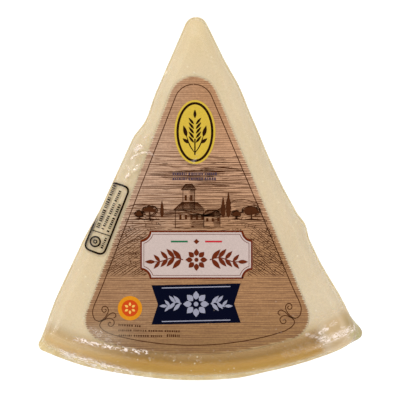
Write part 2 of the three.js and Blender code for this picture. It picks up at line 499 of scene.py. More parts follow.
strewnFolds = [
    # path, count, stray, length, half width, turn, height as a share of the half width, how bright a highlight
    # is painted on the crest
    ([(322, 339), (336, 335), (351, 329)], 14, 1.6, (2, 4.5), (0.5, 0.8), 16, (0.38, 0.50), 0.5),
    ([(318, 332), (333, 321)], 5, 0.9, (2, 4), (0.4, 0.6), 10, (0.38, 0.50), 0.5),
    ([(77, 337), (92, 342), (108, 345), (124, 348), (142, 351)], 26, 0.7, (1.2, 3.2), (0.35, 0.5), 24,
     (0.38, 0.50), 0.4),
    ([(60, 345), (90, 352), (130, 360)], 8, 3.0, (1, 3), (0.5, 0.8), 25, (0.1, 0.4), 0.2),
    ([(140, 351), (200, 356), (300, 345)], 46, 1.6, (0.8, 2.0), (0.4, 0.6), 40, (0.2, 0.45), 0.25),
    ([(182, 163), (192, 160), (200, 166)], 9, 1.6, (1, 2.6), (0.4, 0.5), 40, (0.25, 0.45), 0.4),
    ([(225, 290), (285, 330)], 14, 9, (0.5, 1.0), (0.35, 0.45), 90, (0.2, 0.4), 0.4),
]


def topFolds():
    # folds on the top: x and y of both ends, sideways bend, half width, height, how bright a highlight is
    # painted on the crest
    random = np.random.default_rng(7)
    folds = []
    for start, end, *shape in tuckFolds + chainFolds + cornerFolds:
        folds.append((*photoPlace(*start), *photoPlace(*end), *shape))
    for strewn in strewnFolds:
        folds += foldsAlong(random, *strewn)
    return folds


def sideFolds():
    # soft upright folds round the three walls, where the two webs are drawn together
    random = np.random.default_rng(9)
    folds = []
    for _ in range(60):  # on the rind
        angle = random.uniform(-25, 26)
        foot, head = sorted(random.uniform(5, 46, 2))
        x, y = polar(wedge["rind"], angle)
        x2, y2 = polar(wedge["rind"], angle + random.uniform(-1.2, 1.2))
        folds.append((x, y, foot, x2, y2, head, 0.3, random.uniform(0.8, 1.4), random.uniform(0.15, 0.5)))
    for _ in range(70):  # on the cut sides
        side, sign = (leftSide, -1) if random.random() < 0.5 else (rightSide, 1)
        distance = random.uniform(25, 185)
        slant = random.uniform(-9, 9)
        foot, head = sorted(random.uniform(4, 44, 2))
        x, y = polar(distance, sign * float(sideAngle(side, distance)))
        x2, y2 = polar(distance + slant, sign * float(sideAngle(side, distance + slant)))
        folds.append((x, y, foot, x2, y2, head, 0.5, random.uniform(0.8, 1.5), random.uniform(0.1, 0.4)))
    return folds


def refineNear(piece, folds, reach, cuts):
    # cuts the faces close to the folds finer, so that the folds come out crisp
    points = coordinates(piece) / mm
    near = np.zeros(len(points), bool)
    for x, y, x2, y2, *_ in folds:
        along = np.array([x2 - x, y2 - y])
        local = points[:, :2] - (x, y)
        t = np.clip(local @ along / (along @ along), 0, 1)
        near |= np.hypot(*(local - t[:, None] * along).T) < reach
    near &= points[:, 2] > folding["finerFrom"]
    corners = np.empty(len(piece.data.polygons) * 4, np.int32)
    piece.data.polygons.foreach_get("vertices", corners)
    chosen = near[corners.reshape(-1, 4)].all(axis=1)
    makeActive(piece)
    bpy.context.tool_settings.mesh_select_mode = (False, False, True)
    bpy.ops.object.mode_set(mode="EDIT")
    bpy.ops.mesh.select_all(action="DESELECT")
    bpy.ops.object.mode_set(mode="OBJECT")
    piece.data.polygons.foreach_set("select", chosen)
    bpy.ops.object.mode_set(mode="EDIT")
    bpy.ops.mesh.subdivide(number_cuts=cuts, smoothness=0)
    bpy.ops.object.mode_set(mode="OBJECT")
    bpy.context.tool_settings.mesh_select_mode = (True, False, False)


def pressTopFolds(points, folds):
    # raises the flat top and its shoulders along each fold, and paints a white highlight along the crest
    lift, crestGlint = np.zeros(len(points)), np.zeros(len(points))
    x, y, z = points.T
    for x1, y1, x2, y2, bend, width, height, white in folds:
        reach = 3 * width + abs(bend)
        near = (x > min(x1, x2) - reach) & (x < max(x1, x2) + reach) & (z > folding["topFrom"])
        near &= (y > min(y1, y2) - reach) & (y < max(y1, y2) + reach)
        along = np.array([x2 - x1, y2 - y1])
        length = np.linalg.norm(along)
        along = along / length
        lx, ly = x[near] - x1, y[near] - y1
        t = (lx * along[0] + ly * along[1]) / length
        sideways = ly * along[0] - lx * along[1] - bend * np.sin(math.pi * np.clip(t, 0, 1))
        ends = np.clip(1 - np.abs(2 * t - 1) ** 3, 0, 1)
        flank = np.clip(1 - np.abs(sideways) / width, 0, 1)
        lift[near] = np.maximum(lift[near], height * ends * flank)
        # the painted highlight along the crest
        line = np.clip(1.6 - np.abs(sideways) / (folding["crestGlint"] * width), 0, 1)
        crestGlint[near] = np.maximum(crestGlint[near], white * ends * line)
    return lift, crestGlint


def slackness(points):
    # 0 where the film is drawn tight on the cheese, 1 where it stands loose and milky
    x, y, z = points.T
    distance, angle = wheelPlace(x, y)
    corner = drifted(x + 0.35 * y, 33, 44, 1) * drifted(y - 0.52 * x, -92.5, -102, 1)
    corner = corner * np.maximum(0.2 + 0.8 * drifted(z, 36, 46, 1), earness(points))  # less on the wall
    left = 0.15 * drifted(distance, 194, 198, 1) * drifted(-angle, 7, 13, 1) * drifted(z, 30, 42, 1)
    low = 0.18 * np.exp(-((x + 52) / 13) ** 2 - ((y + 72) / 6) ** 2) * drifted(z, 45, 49, 1)
    return np.clip(0.95 * corner + left + low, 0, 1)


def earness(points):
    # 1 out in the loose corner, past the cheese
    x, y = points.T[:2]
    return drifted(x + 0.45 * y, 43, 50, 1) * drifted(y, -56, -66, 1)


def crinkling(points):
    # how crinkled the film is: in the tuck, along the rind's edge, at the right corner and on the walls
    x, y, z = points.T
    distance, angle = wheelPlace(x, y)
    tuck = np.exp(-(((x + 35) / 7) ** 2 + ((y - 19) / 13) ** 2))
    rindEdge = humped(distance, 187, 7, 1) * (0.25 + 0.75 * drifted(-angle, 0, 8, 1))
    corner = np.exp(-(((x - 70) / 14) ** 2 + ((y + 72) / 9) ** 2))
    sides = 0.35 * drifted(z, 46, 38, 1)
    return np.clip(tuck + rindEdge + corner + sides, 0, 1)


def nearPath(points, path, reach):
    # 1 on a line given in the photo's pixels, 0 at its reach
    found = np.zeros(len(points))
    path = np.array([photoPlace(*p) for p in path])
    for start, end in zip(path[:-1], path[1:]):
        along = end - start
        local = points[:, :2] - start
        t = np.clip(local @ along / (along @ along), 0, 1)
        away = np.hypot(*(local - t[:, None] * along).T)
        found = np.maximum(found, drifted(away, reach, 0.3 * reach, 1))
    return found


def leftGlints(points):
    # how thick the painted glints of fine creases lie: below the print, and where the webs meet along the rind
    chain = nearPath(points, [(76, 337), (92, 342), (108, 345), (124, 348), (146, 351)], 1.6)
    corner = nearPath(points, [(92, 328), (100, 334), (118, 342)], 2.6)
    return np.maximum(chain, 0.2 * corner) * drifted(points[:, 2], 44, 47, 1)


def weldGlints(points):
    # painted glints along the long creases over the left half of the rind, where the webs meet
    path = [(62, 351.5), (76, 357), (92, 362.5), (106, 366.5), (120, 370.5), (128, 374)]
    z = points[:, 2]
    shoulder = drifted(z, 38, 42, 1)
    fin = drifted(np.abs(z - film["weld"]), 3, 1.5, 1)
    return nearPath(points, path, 3.6) * np.maximum(shoulder, fin)


def wallGlints(points):
    # painted highlights of upright hair creases on the walls, closest where the webs are drawn to the weld
    x, y, z = points.T
    drift = 0.5 + 0.5 * np.sin(x * 0.11 + 1.3) * np.sin(y * 0.07 + 0.4)
    near = np.exp(-((z - film["weld"]) / 8) ** 2)
    return drifted(z, 43, 37, 1) * drifted(z, 2, 6, 1) * (0.12 + 0.6 * near * drift)


def rightGlints(points):
    # and the painted glints over the right corner, where the film starts to leave the cheese
    ladder = nearPath(points, [(317, 333), (334, 321)], 1.7)
    fork = nearPath(points, [(306, 333), (318, 337), (326, 337)], 1.3)
    main = nearPath(points, [(321, 339), (337, 334), (353, 327)], 2.9)
    strewn = nearPath(points, [(285, 352), (325, 341)], 4)
    top = drifted(points[:, 2], 38, 44, 1)
    return np.maximum(np.maximum(ladder, 0.6 * fork), np.maximum(main, 0.12 * strewn)) * top


glintFields = {"leftGlints": leftGlints, "rightGlints": rightGlints, "weldGlints": weldGlints, "wallGlints": wallGlints}


def glossiness(points, outward):
    # mirror-smooth over the flat print and on the folds, softer where it is drawn over the shoulders
    flat = drifted(outward[:, 2], 0.95, 0.995, 1)
    return 0.42 - 0.34 * np.maximum(flat, np.clip(crinkling(points) * 1.6, 0, 1))


def glintLines(tree, place, heading, size, wide, field):
    # painted highlights, bright hair lines: level lines of a noise drawn out along the heading, broken up by a
    # second noise
    turned = addNode(tree, "VectorRotate", {"Vector": place, "Angle": -math.radians(heading)},
                     rotation_type="Z_AXIS")
    scale = tuple(perCell(part) for part in size)
    drawn = addNode(tree, "VectorMath", (turned, scale), operation="MULTIPLY")
    long = addNode(tree, "TexNoise", {"Vector": drawn, "Scale": 1.0, "Detail": 1.5})
    off = addNode(tree, "Math", (long, 0.5), operation="SUBTRACT")
    away = addNode(tree, "Math", (off,), operation="ABSOLUTE")
    line = addNode(tree, "MapRange", (away, wide, 0.012), interpolation_type="SMOOTHSTEP")
    patchy = addNode(tree, "TexNoise", {"Vector": place, "Scale": perCell(film["breaks"])})
    broken = addNode(tree, "MapRange", (patchy, 0.36, 0.54), interpolation_type="SMOOTHSTEP")
    share = addNode(tree, "Math", (broken, field), operation="MULTIPLY")
    return addNode(tree, "Math", (line, share), operation="MULTIPLY")


def glintNets(tree, place):
    most = 0.0
    for name, heading, size, wide in glintSets:
        field = addNode(tree, "Attribute", attribute_name=name).outputs["Fac"]
        line = glintLines(tree, place, heading, size, wide, field)
        most = addNode(tree, "Math", (most, line), operation="MAXIMUM")
    return most


def clearFilm():
    # coextruded polyamide film drawn tight by vacuum: clear, glossy on its folds, milky where slack, with
    # white highlights painted on its fold crests and creases
    material, tree, place = newMaterial("polyamide_vacuum_film")
    crinkle, slack, ear, paintedGlint, softness = [
        addNode(tree, "Attribute", attribute_name=name).outputs["Fac"]
        for name in ("crinkle", "slack", "ear", "paintedGlint", "softness")]
    ridges = addNode(tree, "TexNoise", {
        "Vector": place, "Scale": perCell(film["ridges"]), "Detail": 3.0, "Roughness": 0.45},
        noise_type="RIDGED_MULTIFRACTAL")
    crinkled = addNode(tree, "Math", (ridges, crinkle), operation="MULTIPLY")
    swells = addNode(tree, "TexNoise", {"Vector": place, "Scale": perCell(film["swells"])})
    height = addNode(tree, "Math", (swells, 0.12, crinkled), operation="MULTIPLY_ADD")
    bump = addNode(tree, "Bump", {"Strength": 1.0, "Distance": 0.0004, "Height": height})
    straight = addNode(tree, "MapRange", (crinkle, 0.0, 1.0, *film["gloss"]))
    gloss = addNode(tree, "BsdfGlossy", {"Color": ink("#ffffff"), "Roughness": softness, "Normal": bump})
    clear = addNode(tree, "BsdfTransparent", {"Color": film["clear"]})
    patchy = addNode(tree, "TexNoise", {"Vector": place, "Scale": perCell(film["patches"])})
    earTone = addNode(tree, "ValToRGB", (patchy,), [(0.42, film["ear"][0]), (0.58, film["ear"][1])])
    slackShare = addNode(tree, "MapRange", (slack, 0.35, 0.95))
    tones = {"Factor": slackShare, 6: ink(film["slackStart"]), 7: ink(film["slack"])}
    slackTone = addNode(tree, "Mix", tones, data_type="RGBA").outputs[2]
    tone = addNode(tree, "Mix", {"Factor": ear, 6: slackTone, 7: earTone}, data_type="RGBA").outputs[2]
    haze = addNode(tree, "BsdfDiffuse", {"Color": tone})
    milk = addNode(tree, "Math", (slack, film["milk"]), operation="MULTIPLY")
    sheet = addNode(tree, "MixShader", (milk, clear, haze))
    shell = addNode(tree, "MixShader", (filmMirror(tree, bump, straight), sheet, gloss))
    frays = addNode(tree, "TexNoise", {"Vector": place, "Scale": perCell(film["frays"]), "Detail": 3.0})
    frayed = addNode(tree, "MapRange", (frays, 0.38, 0.6, 0.3, 1.0), interpolation_type="SMOOTHSTEP")
    crestGlint = addNode(tree, "Math", (paintedGlint, frayed), operation="MULTIPLY")
    glints = addNode(tree, "Math", (crestGlint, glintNets(tree, place)), operation="MAXIMUM")
    # painted highlights: white where the crests and glint lines lie
    white = addNode(tree, "BsdfDiffuse", {"Color": ink(film["paintedGlint"])})
    surface = addNode(tree, "MixShader", (glints, shell, white))
    addNode(tree, "OutputMaterial", {"Surface": surface})
    return material


def makeFilm(material):
    piece = addLoft([(h, filmLoop(h)) for h in bodyHeights(0, film["top"])])
    applyModifier(piece, "REMESH", mode="VOXEL", voxel_size=film["voxel"] * mm, use_smooth_shade=True)
    free = drifted(coordinates(piece)[:, 2] / mm, *film["flatBase"], 1)
    group = piece.vertex_groups.new(name="free")
    for level in range(1, 11):
        chosen = np.flatnonzero(np.ceil(free * 10) == level)
        if len(chosen):
            group.add(chosen.tolist(), level / 10, "REPLACE")
    wave = bpy.data.textures.new("filmWave", "CLOUDS")
    wave.noise_scale = film["waveSize"] * mm
    applyModifier(piece, "DISPLACE", texture=wave, texture_coords="LOCAL", vertex_group="free",
                  strength=film["waveHeight"] * mm, mid_level=0.35)
    folds = topFolds()
    refineNear(piece, folds, film["refined"], 2)
    points, outward = coordinates(piece) / mm, normals(piece)
    lift, crestGlint = pressTopFolds(points, folds)
    lift = lift + pressSideFolds(points, outward, sideFolds())
    setCoordinates(piece, (points + outward * lift[:, None]) * mm)
    piece.vertex_groups.clear()
    bpy.ops.object.shade_smooth()
    points = coordinates(piece) / mm
    setAttribute(piece, "slack", slackness(points))
    setAttribute(piece, "ear", earness(points))
    setAttribute(piece, "crinkle", crinkling(points))
    setAttribute(piece, "paintedGlint", crestGlint)
    for name, field in glintFields.items():
        setAttribute(piece, name, field(points))
    setAttribute(piece, "softness", glossiness(points, normals(piece)))
    finishPiece(piece, "film", material, ["film_pack"])
    print("film: %d faces" % len(piece.data.polygons))
    return piece


# The weld and its ear, between the two webs

def milkyWeld():
    # two webs of the same film welded and crimped together: whiter than one web, with bright highlights
    # painted along its creases
    material, tree, place = newMaterial("welded_film_edge")
    ear = addNode(tree, "Attribute", attribute_name="ear").outputs["Fac"]
    crimps = addNode(tree, "TexNoise", {"Vector": place, "Scale": perCell(weld["crimps"]), "Detail": 3.0},
                     noise_type="RIDGED_MULTIFRACTAL")
    bump = addNode(tree, "Bump", {"Strength": 0.7, "Distance": 0.0006, "Height": crimps})
    gloss = addNode(tree, "BsdfGlossy", {"Roughness": 0.1, "Normal": bump})
    clear = addNode(tree, "BsdfTransparent", {"Color": weld["clear"]})
    tone = addNode(tree, "Mix", {"Factor": ear, 6: ink(weld["pale"]), 7: ink(weld["ear"])},
                   data_type="RGBA").outputs[2]
    plain = addNode(tree, "BsdfDiffuse", {"Color": tone})
    through = addNode(tree, "BsdfTranslucent", {"Color": tone})
    haze = addNode(tree, "MixShader", (0.5, plain, through))
    patchy = addNode(tree, "TexNoise", {"Vector": place, "Scale": perCell(weld["patches"])})
    milk = addNode(tree, "MapRange", (patchy, 0.35, 0.65, 0.45, 0.8))
    sheet = addNode(tree, "MixShader", (milk, clear, haze))
    shell = addNode(tree, "MixShader", (filmMirror(tree, bump, film["gloss"][1]), sheet, gloss))
    # painted highlights along the weld's creases
    white = addNode(tree, "BsdfDiffuse", {"Color": ink(weld["paintedGlint"])})
    surface = addNode(tree, "MixShader", (glintNets(tree, place), shell, white))
    addNode(tree, "OutputMaterial", {"Surface": surface})
    return material


def makeWeld(material):
    outer = weldLoop()
    inner = filmLoop(film["weld"])
    centre = inner.mean(axis=0)
    inner = centre + (inner - centre) * (1 - weld["root"])
    random = np.random.default_rng(3)
    turn = np.linspace(0, 2 * math.pi, len(outer), endpoint=False)
    waves = np.zeros(len(outer))
    for count in weld["rippleCounts"]:
        waves += random.uniform(0.2, 0.5) * np.sin(turn * count + random.uniform(0, 6))
    rows = []
    for share in np.arange(weld["across"]) / (weld["across"] - 1):
        height = film["weld"] + weld["ripple"] * waves * share
        rows.append(np.column_stack([inner + (outer - inner) * share, height]))
    piece = wrapGrid(rows)
    closeSeam()
    bpy.ops.object.mode_set(mode="OBJECT")
    applyModifier(piece, "SOLIDIFY", thickness=weld["thickness"] * mm, offset=0)
    bpy.ops.object.shade_smooth_by_angle(angle=math.radians(40))
    points = coordinates(piece) / mm
    setAttribute(piece, "ear", earness(points))
    for name in ("leftGlints", "rightGlints", "weldGlints"):
        setAttribute(piece, name, glintFields[name](points))
    finishPiece(piece, "film_weld", material)
    print("weld: %d faces" % len(piece.data.polygons))


# The cheese

cheese = {
    "gap": 0.7,             # between the cheese and the film
    "top": 49.9,
    "base": 0.5,
    "rightCorner": 15.0,    # the corner that is missing under the loose film
    "voxel": 1.2,
    "crumbSize": 4.0,
    "crumbDepth": 0.4,
    "waver": 3.2,           # how far the rind's inner line wavers, and over what length
    "drift": 16.67,
    "clouds": 41.67,        # sizes of the paste's clouds, of the crumbs that the wire tore on its walls,
    "crumbs": 5.882,        # of its grain, drawn as coarse as it needs to be to show,
    "grain": 1.111,         # and of the space between its crystals
    "crystals": 4.762,
    "rindStart": (180.0, 186.5),    # from the wheel's middle to the rind's first tint: right, and far left
    "leftShift": (-35, -70),        # X between which it goes from one to the other
    "rindEnd": 200.0,
    "wall": (47, 40),               # heights between which the crumb of the cut walls comes in
    "band": [(0.0, "#dfcba9"), (0.22, "#d0b890"), (0.40, "#b18d5e"),   # paste to rind
             (0.56, "#a07b42"), (0.72, "#b98924"), (1.0, "#bf9430")],
    "paler": [
        # the axis it comes in along, between which places, how far, between which parts of the band
        ("X", (0, 60), 0.6, (0.3, 0.0), "#ddccb2"),         # the paste at the right, painted paler as if lit brighter there
        ("X", (-25, -85), 0.7, (0.15, 0.5), "#e8cb98"),     # the rind at the left
        ("Y", (60, 92), 0.45, (-1, 0), "#e4cc99"),          # all of it at the tip
    ],
    "crystalTone": "#f2e8cf",
}


def pasteTone(tree, place):
    # straw paste that turns tan and then golden toward the rind of the wheel, paler at three places; the
    # paleness at the right is painted light
    middle = (wedge["centre"][0] * mm, wedge["centre"][1] * mm, 0)
    away = addNode(tree, "VectorMath", (place, middle), operation="SUBTRACT")
    level = addNode(tree, "VectorMath", (away, (1, 1, 0)), operation="MULTIPLY")
    distance = addNode(tree, "VectorMath", (level,), operation="LENGTH").outputs["Value"]
    drift = addNode(tree, "TexNoise", {"Vector": place, "Scale": perCell(cheese["drift"]), "Detail": 3.0})
    wavering = addNode(tree, "Math", (drift, cheese["waver"] * mm, distance), operation="MULTIPLY_ADD")
    split = addNode(tree, "SeparateXYZ", (place,))
    start = addNode(tree, "MapRange", (split, *metres(cheese["leftShift"]), *metres(cheese["rindStart"])),
                    interpolation_type="SMOOTHSTEP")
    toRind = addNode(tree, "MapRange", (wavering, start, cheese["rindEnd"] * mm))
    tone = addNode(tree, "ValToRGB", (toRind,), cheese["band"])
    for axis, span, most, inBand, colour in cheese["paler"]:
        comesIn = addNode(tree, "MapRange", (split.outputs[axis], *metres(span), 0.0, most),
                          interpolation_type="SMOOTHSTEP")
        banded = addNode(tree, "MapRange", (toRind, *inBand))
        share = addNode(tree, "Math", (comesIn, banded), operation="MULTIPLY")
        tone = addNode(tree, "Mix", {"Factor": share, 6: tone, 7: ink(colour)}, data_type="RGBA").outputs[2]
    return tone


def agedCheese():
    # long-aged cow's milk cheese, cut by wire: waxy straw paste, fine grain, pale crystals, golden rind
    material, tree, place = newMaterial("aged_hard_cheese")
    white = (1, 1, 1)
    clouds = addNode(tree, "TexNoise", {"Vector": place, "Scale": perCell(cheese["clouds"]), "Detail": 4.0})
    cloudy = addNode(tree, "ValToRGB", (clouds,), [(0.3, (0.94, 0.93, 0.90)), (0.7, white)])
    flattened = addNode(tree, "VectorMath", (place, (1, 1, 2.4)), operation="MULTIPLY")
    crumbs = addNode(tree, "TexNoise", {
        "Vector": flattened, "Scale": perCell(cheese["crumbs"]), "Detail": 6.0, "Roughness": 0.68})
    crumbly = addNode(tree, "ValToRGB", (crumbs,), [
        (0.33, (0.78, 0.72, 0.62)), (0.46, (0.94, 0.92, 0.88)), (0.62, (1.03, 1.03, 1.04))])
    height = addNode(tree, "SeparateXYZ", (place,)).outputs["Z"]
    onWall = addNode(tree, "MapRange", (height, *metres(cheese["wall"])))
    grain = addNode(tree, "TexNoise", {"Vector": place, "Scale": perCell(cheese["grain"]), "Detail": 3.0})
    grainy = addNode(tree, "ValToRGB", (grain,), [(0.35, (0.93, 0.92, 0.88)), (0.65, white)])
    tone = pasteTone(tree, place)
    for share, over in ((1.0, cloudy), (onWall, crumbly), (0.8, grainy)):
        tone = addNode(tree, "Mix", {"Factor": share, 6: tone, 7: over},
                       data_type="RGBA", blend_type="MULTIPLY").outputs[2]
    crystals = addNode(tree, "TexVoronoi", {"Vector": place, "Scale": perCell(cheese["crystals"])})
    specks = addNode(tree, "ValToRGB", (crystals,), [(0.06, white), (0.12, (0, 0, 0))])
    speckShare = addNode(tree, "Math", (specks, 0.5), operation="MULTIPLY")
    speckled = addNode(tree, "Mix", {"Factor": speckShare, 6: tone, 7: ink(cheese["crystalTone"])},
                       data_type="RGBA").outputs[2]
    bump = addNode(tree, "Bump", {"Strength": 0.35, "Distance": 0.0004, "Height": grain})
    surface = addNode(tree, "BsdfPrincipled", {
        "Base Color": speckled, "Roughness": 0.55, "IOR": 1.45, "Normal": bump,
        "Subsurface Weight": 0.25, "Subsurface Radius": (0.006, 0.0042, 0.0022), "Subsurface Scale": 1.0})
    addNode(tree, "OutputMaterial", {"Surface": surface})
    return material


def makeCheese(material):
    low, high, gap, corner = cheese["base"], cheese["top"], cheese["gap"], cheese["rightCorner"]
    piece = addLoft([(h, bodyLoop(h, gap, low, high, corner)) for h in bodyHeights(low, high)])
    applyModifier(piece, "REMESH", mode="VOXEL", voxel_size=cheese["voxel"] * mm, use_smooth_shade=True)
    crumb = bpy.data.textures.new("cheeseCrumb", "CLOUDS")
    crumb.noise_scale = cheese["crumbSize"] * mm
    crumb.noise_depth = 3
    applyModifier(piece, "DISPLACE", texture=crumb, texture_coords="LOCAL",
                  strength=cheese["crumbDepth"] * mm, mid_level=0.7)
    finishPiece(piece, "cheese_wedge", material)
    print("cheese: %d faces" % len(piece.data.polygons))


# Floor, light and camera

studio = {
    "cameraHeight": 2.4,
    "frameWidth": 0.21136,      # what the photograph's 400 pixels span
    "frameLevel": 0.035,        # the height at which they span it
    "cameraPlace": (-0.00053, -0.00079),
    "sensor": 36.0,
    "tent": 1.12,               # brightness of the light tent
    "tentFall": [(0.0, 0.28), (0.45, 0.56), (0.75, 1.0), (0.885, 1.15)],   # which falls toward the table
    "lensHole": (0.945, 0.03),  # and of the dark hole in it that the lens looks through
    "tableGlow": 0.92,          # the lit acrylic table
    "table": "#8c8c8b",
    "tooth": 3.333,             # size of its faint unevenness
    "boxes": [
        # name, place, width, height, power
        ("farStripbox", (-0.4, 1.2, 1.2), 1.4, 0.45, 9.0),
        ("leftSoftbox", (-1.3, -0.1, 1.2), 0.5, 0.5, 3.0),
        ("rightSoftbox", (1.2, -0.5, 1.2), 0.5, 0.5, 2.5),
        ("nearSoftbox", (0.3, -1.4, 1.2), 0.5, 0.5, 3.0),
    ],
}


def makeTable():
    deselectAll()
    bpy.ops.mesh.primitive_plane_add(size=8, location=(0, 0, 0))
    floor = bpy.context.object
    floor.name = "floor"
    material, tree, place = newMaterial("lit_white_acrylic")
    tooth = addNode(tree, "TexNoise", {"Vector": place, "Scale": perCell(studio["tooth"])})
    bump = addNode(tree, "Bump", {"Strength": 0.05, "Distance": 0.0002, "Height": tooth})
    board = addNode(tree, "BsdfPrincipled", {
        "Base Color": ink(studio["table"]), "Roughness": 0.9, "Normal": bump,
        "Emission Color": ink("#ffffff"), "Emission Strength": studio["tableGlow"]})
    addNode(tree, "OutputMaterial", {"Surface": board})
    floor.data.materials.append(material)


def makeTent():
    world = bpy.data.worlds.new("lightTent")
    bpy.context.scene.world = world
    world.use_nodes = True
    sky = world.node_tree
    sky.nodes.clear()
    direction = addNode(sky, "TexCoord").outputs["Generated"]
    up = addNode(sky, "SeparateXYZ", (direction,)).outputs["Z"]
    stops = [(place, studio["tent"] * light) for place, light in studio["tentFall"]] + [studio["lensHole"]]
    shade = addNode(sky, "ValToRGB", (up,), [(place, (light, light, light)) for place, light in stops])
    glow = addNode(sky, "Background", {"Color": shade, "Strength": 1.0})
    addNode(sky, "OutputWorld", {"Surface": glow})


def makeBoxes():
    for name, place, wide, high, power in studio["boxes"]:
        light = bpy.data.lights.new(name, "AREA")
        light.shape = "RECTANGLE"
        light.size = wide
        light.size_y = high
        light.energy = power
        lamp = bpy.data.objects.new(name, light)
        bpy.context.scene.collection.objects.link(lamp)
        lamp.location = place
        aim = -lamp.location
        lamp.rotation_euler = aim.to_track_quat("-Z", "Y").to_euler()


def makeCamera():
    view = bpy.data.cameras.new("photoCamera")
    view.sensor_width = studio["sensor"]
    view.lens = studio["sensor"] * (studio["cameraHeight"] - studio["frameLevel"]) / studio["frameWidth"]
    view.clip_end = 20
    camera = bpy.data.objects.new("photoCamera", view)
    bpy.context.scene.collection.objects.link(camera)
    camera.location = (*studio["cameraPlace"], studio["cameraHeight"])
    bpy.context.scene.camera = camera
    bpy.context.scene.view_settings.view_transform = "Standard"


def makeStudio():
    makeTable()
    makeTent()
    makeBoxes()
    makeCamera()
    print("studio: %d lights" % len(studio["boxes"]))


# Print: strokes and filled shapes of one ink, each set one mesh

# How high each ink lies over the label's own field, in mm
inkLayers = {
    "engravedShapes": 0.04,
    "engravedLines": 0.05,
    "rules": 0.06,
    "plate": 0.08,
    "plateLines": 0.12,
    "plateShapes": 0.16,
}


def layerHeight(name):
    return inkHeight + inkLayers[name]


def addStrokes(strokes, height):
    # a stroke is a run of points in mm with a width for each; it becomes a flat ribbon
    curve = bpy.data.curves.new("strokes", "CURVE")
    curve.dimensions = "3D"
    curve.twist_mode = "Z_UP"
    curve.extrude = 0.5 * mm
    for points, widths in strokes:
        spline = addSpline(curve, points, height)
        count = len(points)
        spline.points.foreach_set("radius", np.broadcast_to(widths, count).astype(np.float32))
        spline.points.foreach_set("tilt", np.full(count, math.pi / 2, np.float32))
    return curveToMesh(curve)


def addShapes(shapes, height):
    # closed outlines in mm; one inside another leaves a hole
    curve = bpy.data.curves.new("shapes", "CURVE")
    curve.dimensions = "2D"
    curve.fill_mode = "FRONT"
    for points in shapes:
        addSpline(curve, points, 0).use_cyclic_u = True
    piece = curveToMesh(curve)
    setCoordinates(piece, coordinates(piece) + np.array([0, 0, height * mm]))
    return piece


def addSpline(curve, points, height):
    points = np.asarray(points, float)
    spline = curve.splines.new("POLY")
    spline.points.add(len(points) - 1)
    flat = np.column_stack([points * mm, np.full(len(points), height * mm), np.ones(len(points))])
    spline.points.foreach_set("co", flat.ravel())
    return spline


def curveToMesh(curve):
    piece = bpy.data.objects.new(curve.name, curve)
    bpy.context.scene.collection.objects.link(piece)
    makeActive(piece)
    bpy.ops.object.convert(target="MESH")
    piece = bpy.context.object
    faceUp(piece)
    return piece


def smoothLine(points, steps=8):
    # a rounded line through the points
    points = np.asarray(points, float)
    ends = np.vstack([2 * points[0] - points[1], points, 2 * points[-1] - points[-2]])
    t = (np.arange(steps) / steps)[:, None]
    run = []
    for a, b, c, d in zip(ends, ends[1:], ends[2:], ends[3:]):
        run.append(0.5 * (2 * b + (c - a) * t + (2 * a - 5 * b + 4 * c - d) * t ** 2
                          + (3 * b - a - 3 * c + d) * t ** 3))
    return np.vstack(run + [points[-1:]])


def taper(count, width, least=0.25):
    t = np.linspace(0, 1, count)
    return width * (least + (1 - least) * np.sin(math.pi * t) ** 0.7)


def circle(x, y, radius, steps=40, high=None):
    turn = np.arange(steps) * 2 * math.pi / steps
    return np.column_stack([x + radius * np.cos(turn), y + (high or radius) * np.sin(turn)])


def closedRun(points):
    return np.vstack([points, points[:2]])


def leaf(x, y, heading, length, width, steps=9):
    t = np.linspace(0, 1, steps)
    half = width / 2 * np.sin(math.pi * t ** 0.85)
    along = np.concatenate([t, t[-2:0:-1]]) * length
    across = np.concatenate([half, -half[-2:0:-1]])
    c, s = math.cos(math.radians(heading)), math.sin(math.radians(heading))
    return np.column_stack([x + along * c - across * s, y + along * s + across * c])


def rosette(x, y, radius, petals, width):
    # petals round a middle, the first one upright
    hub = radius * 0.34
    return [leaf(x + hub * math.cos(math.radians(a)), y + hub * math.sin(math.radians(a)),
                 a, radius - hub, width) for a in np.arange(petals) * 360 / petals + 90]


inkTooth = 0.6667  # size of an ink's uneven spots, drawn as coarse as they need to be to show


def printInk(name, colour):
    # solvent ink laid down by gravure on the inner web: flat, even colour with a faint tooth
    material, tree, place = newMaterial(name)
    fine = addNode(tree, "TexNoise", {"Vector": place, "Scale": perCell(inkTooth)})
    tooth = addNode(tree, "ValToRGB", (fine,), [(0.3, (0.90, 0.90, 0.90)), (0.7, (1, 1, 1))])
    tone = addNode(tree, "Mix", {"Factor": 1.0, 6: ink(colour), 7: tooth},
                   data_type="RGBA", blend_type="MULTIPLY").outputs[2]
    finishPrint(tree, tone)
    return material


def finishPrint(tree, tone):
    # the gloss over it is the film's, so the ink has none of its own
    surface = addNode(tree, "BsdfPrincipled", {
        "Base Color": tone, "Roughness": 0.7, "Specular IOR Level": 0.0})
    addNode(tree, "OutputMaterial", {"Surface": surface})


# The kraft-look field

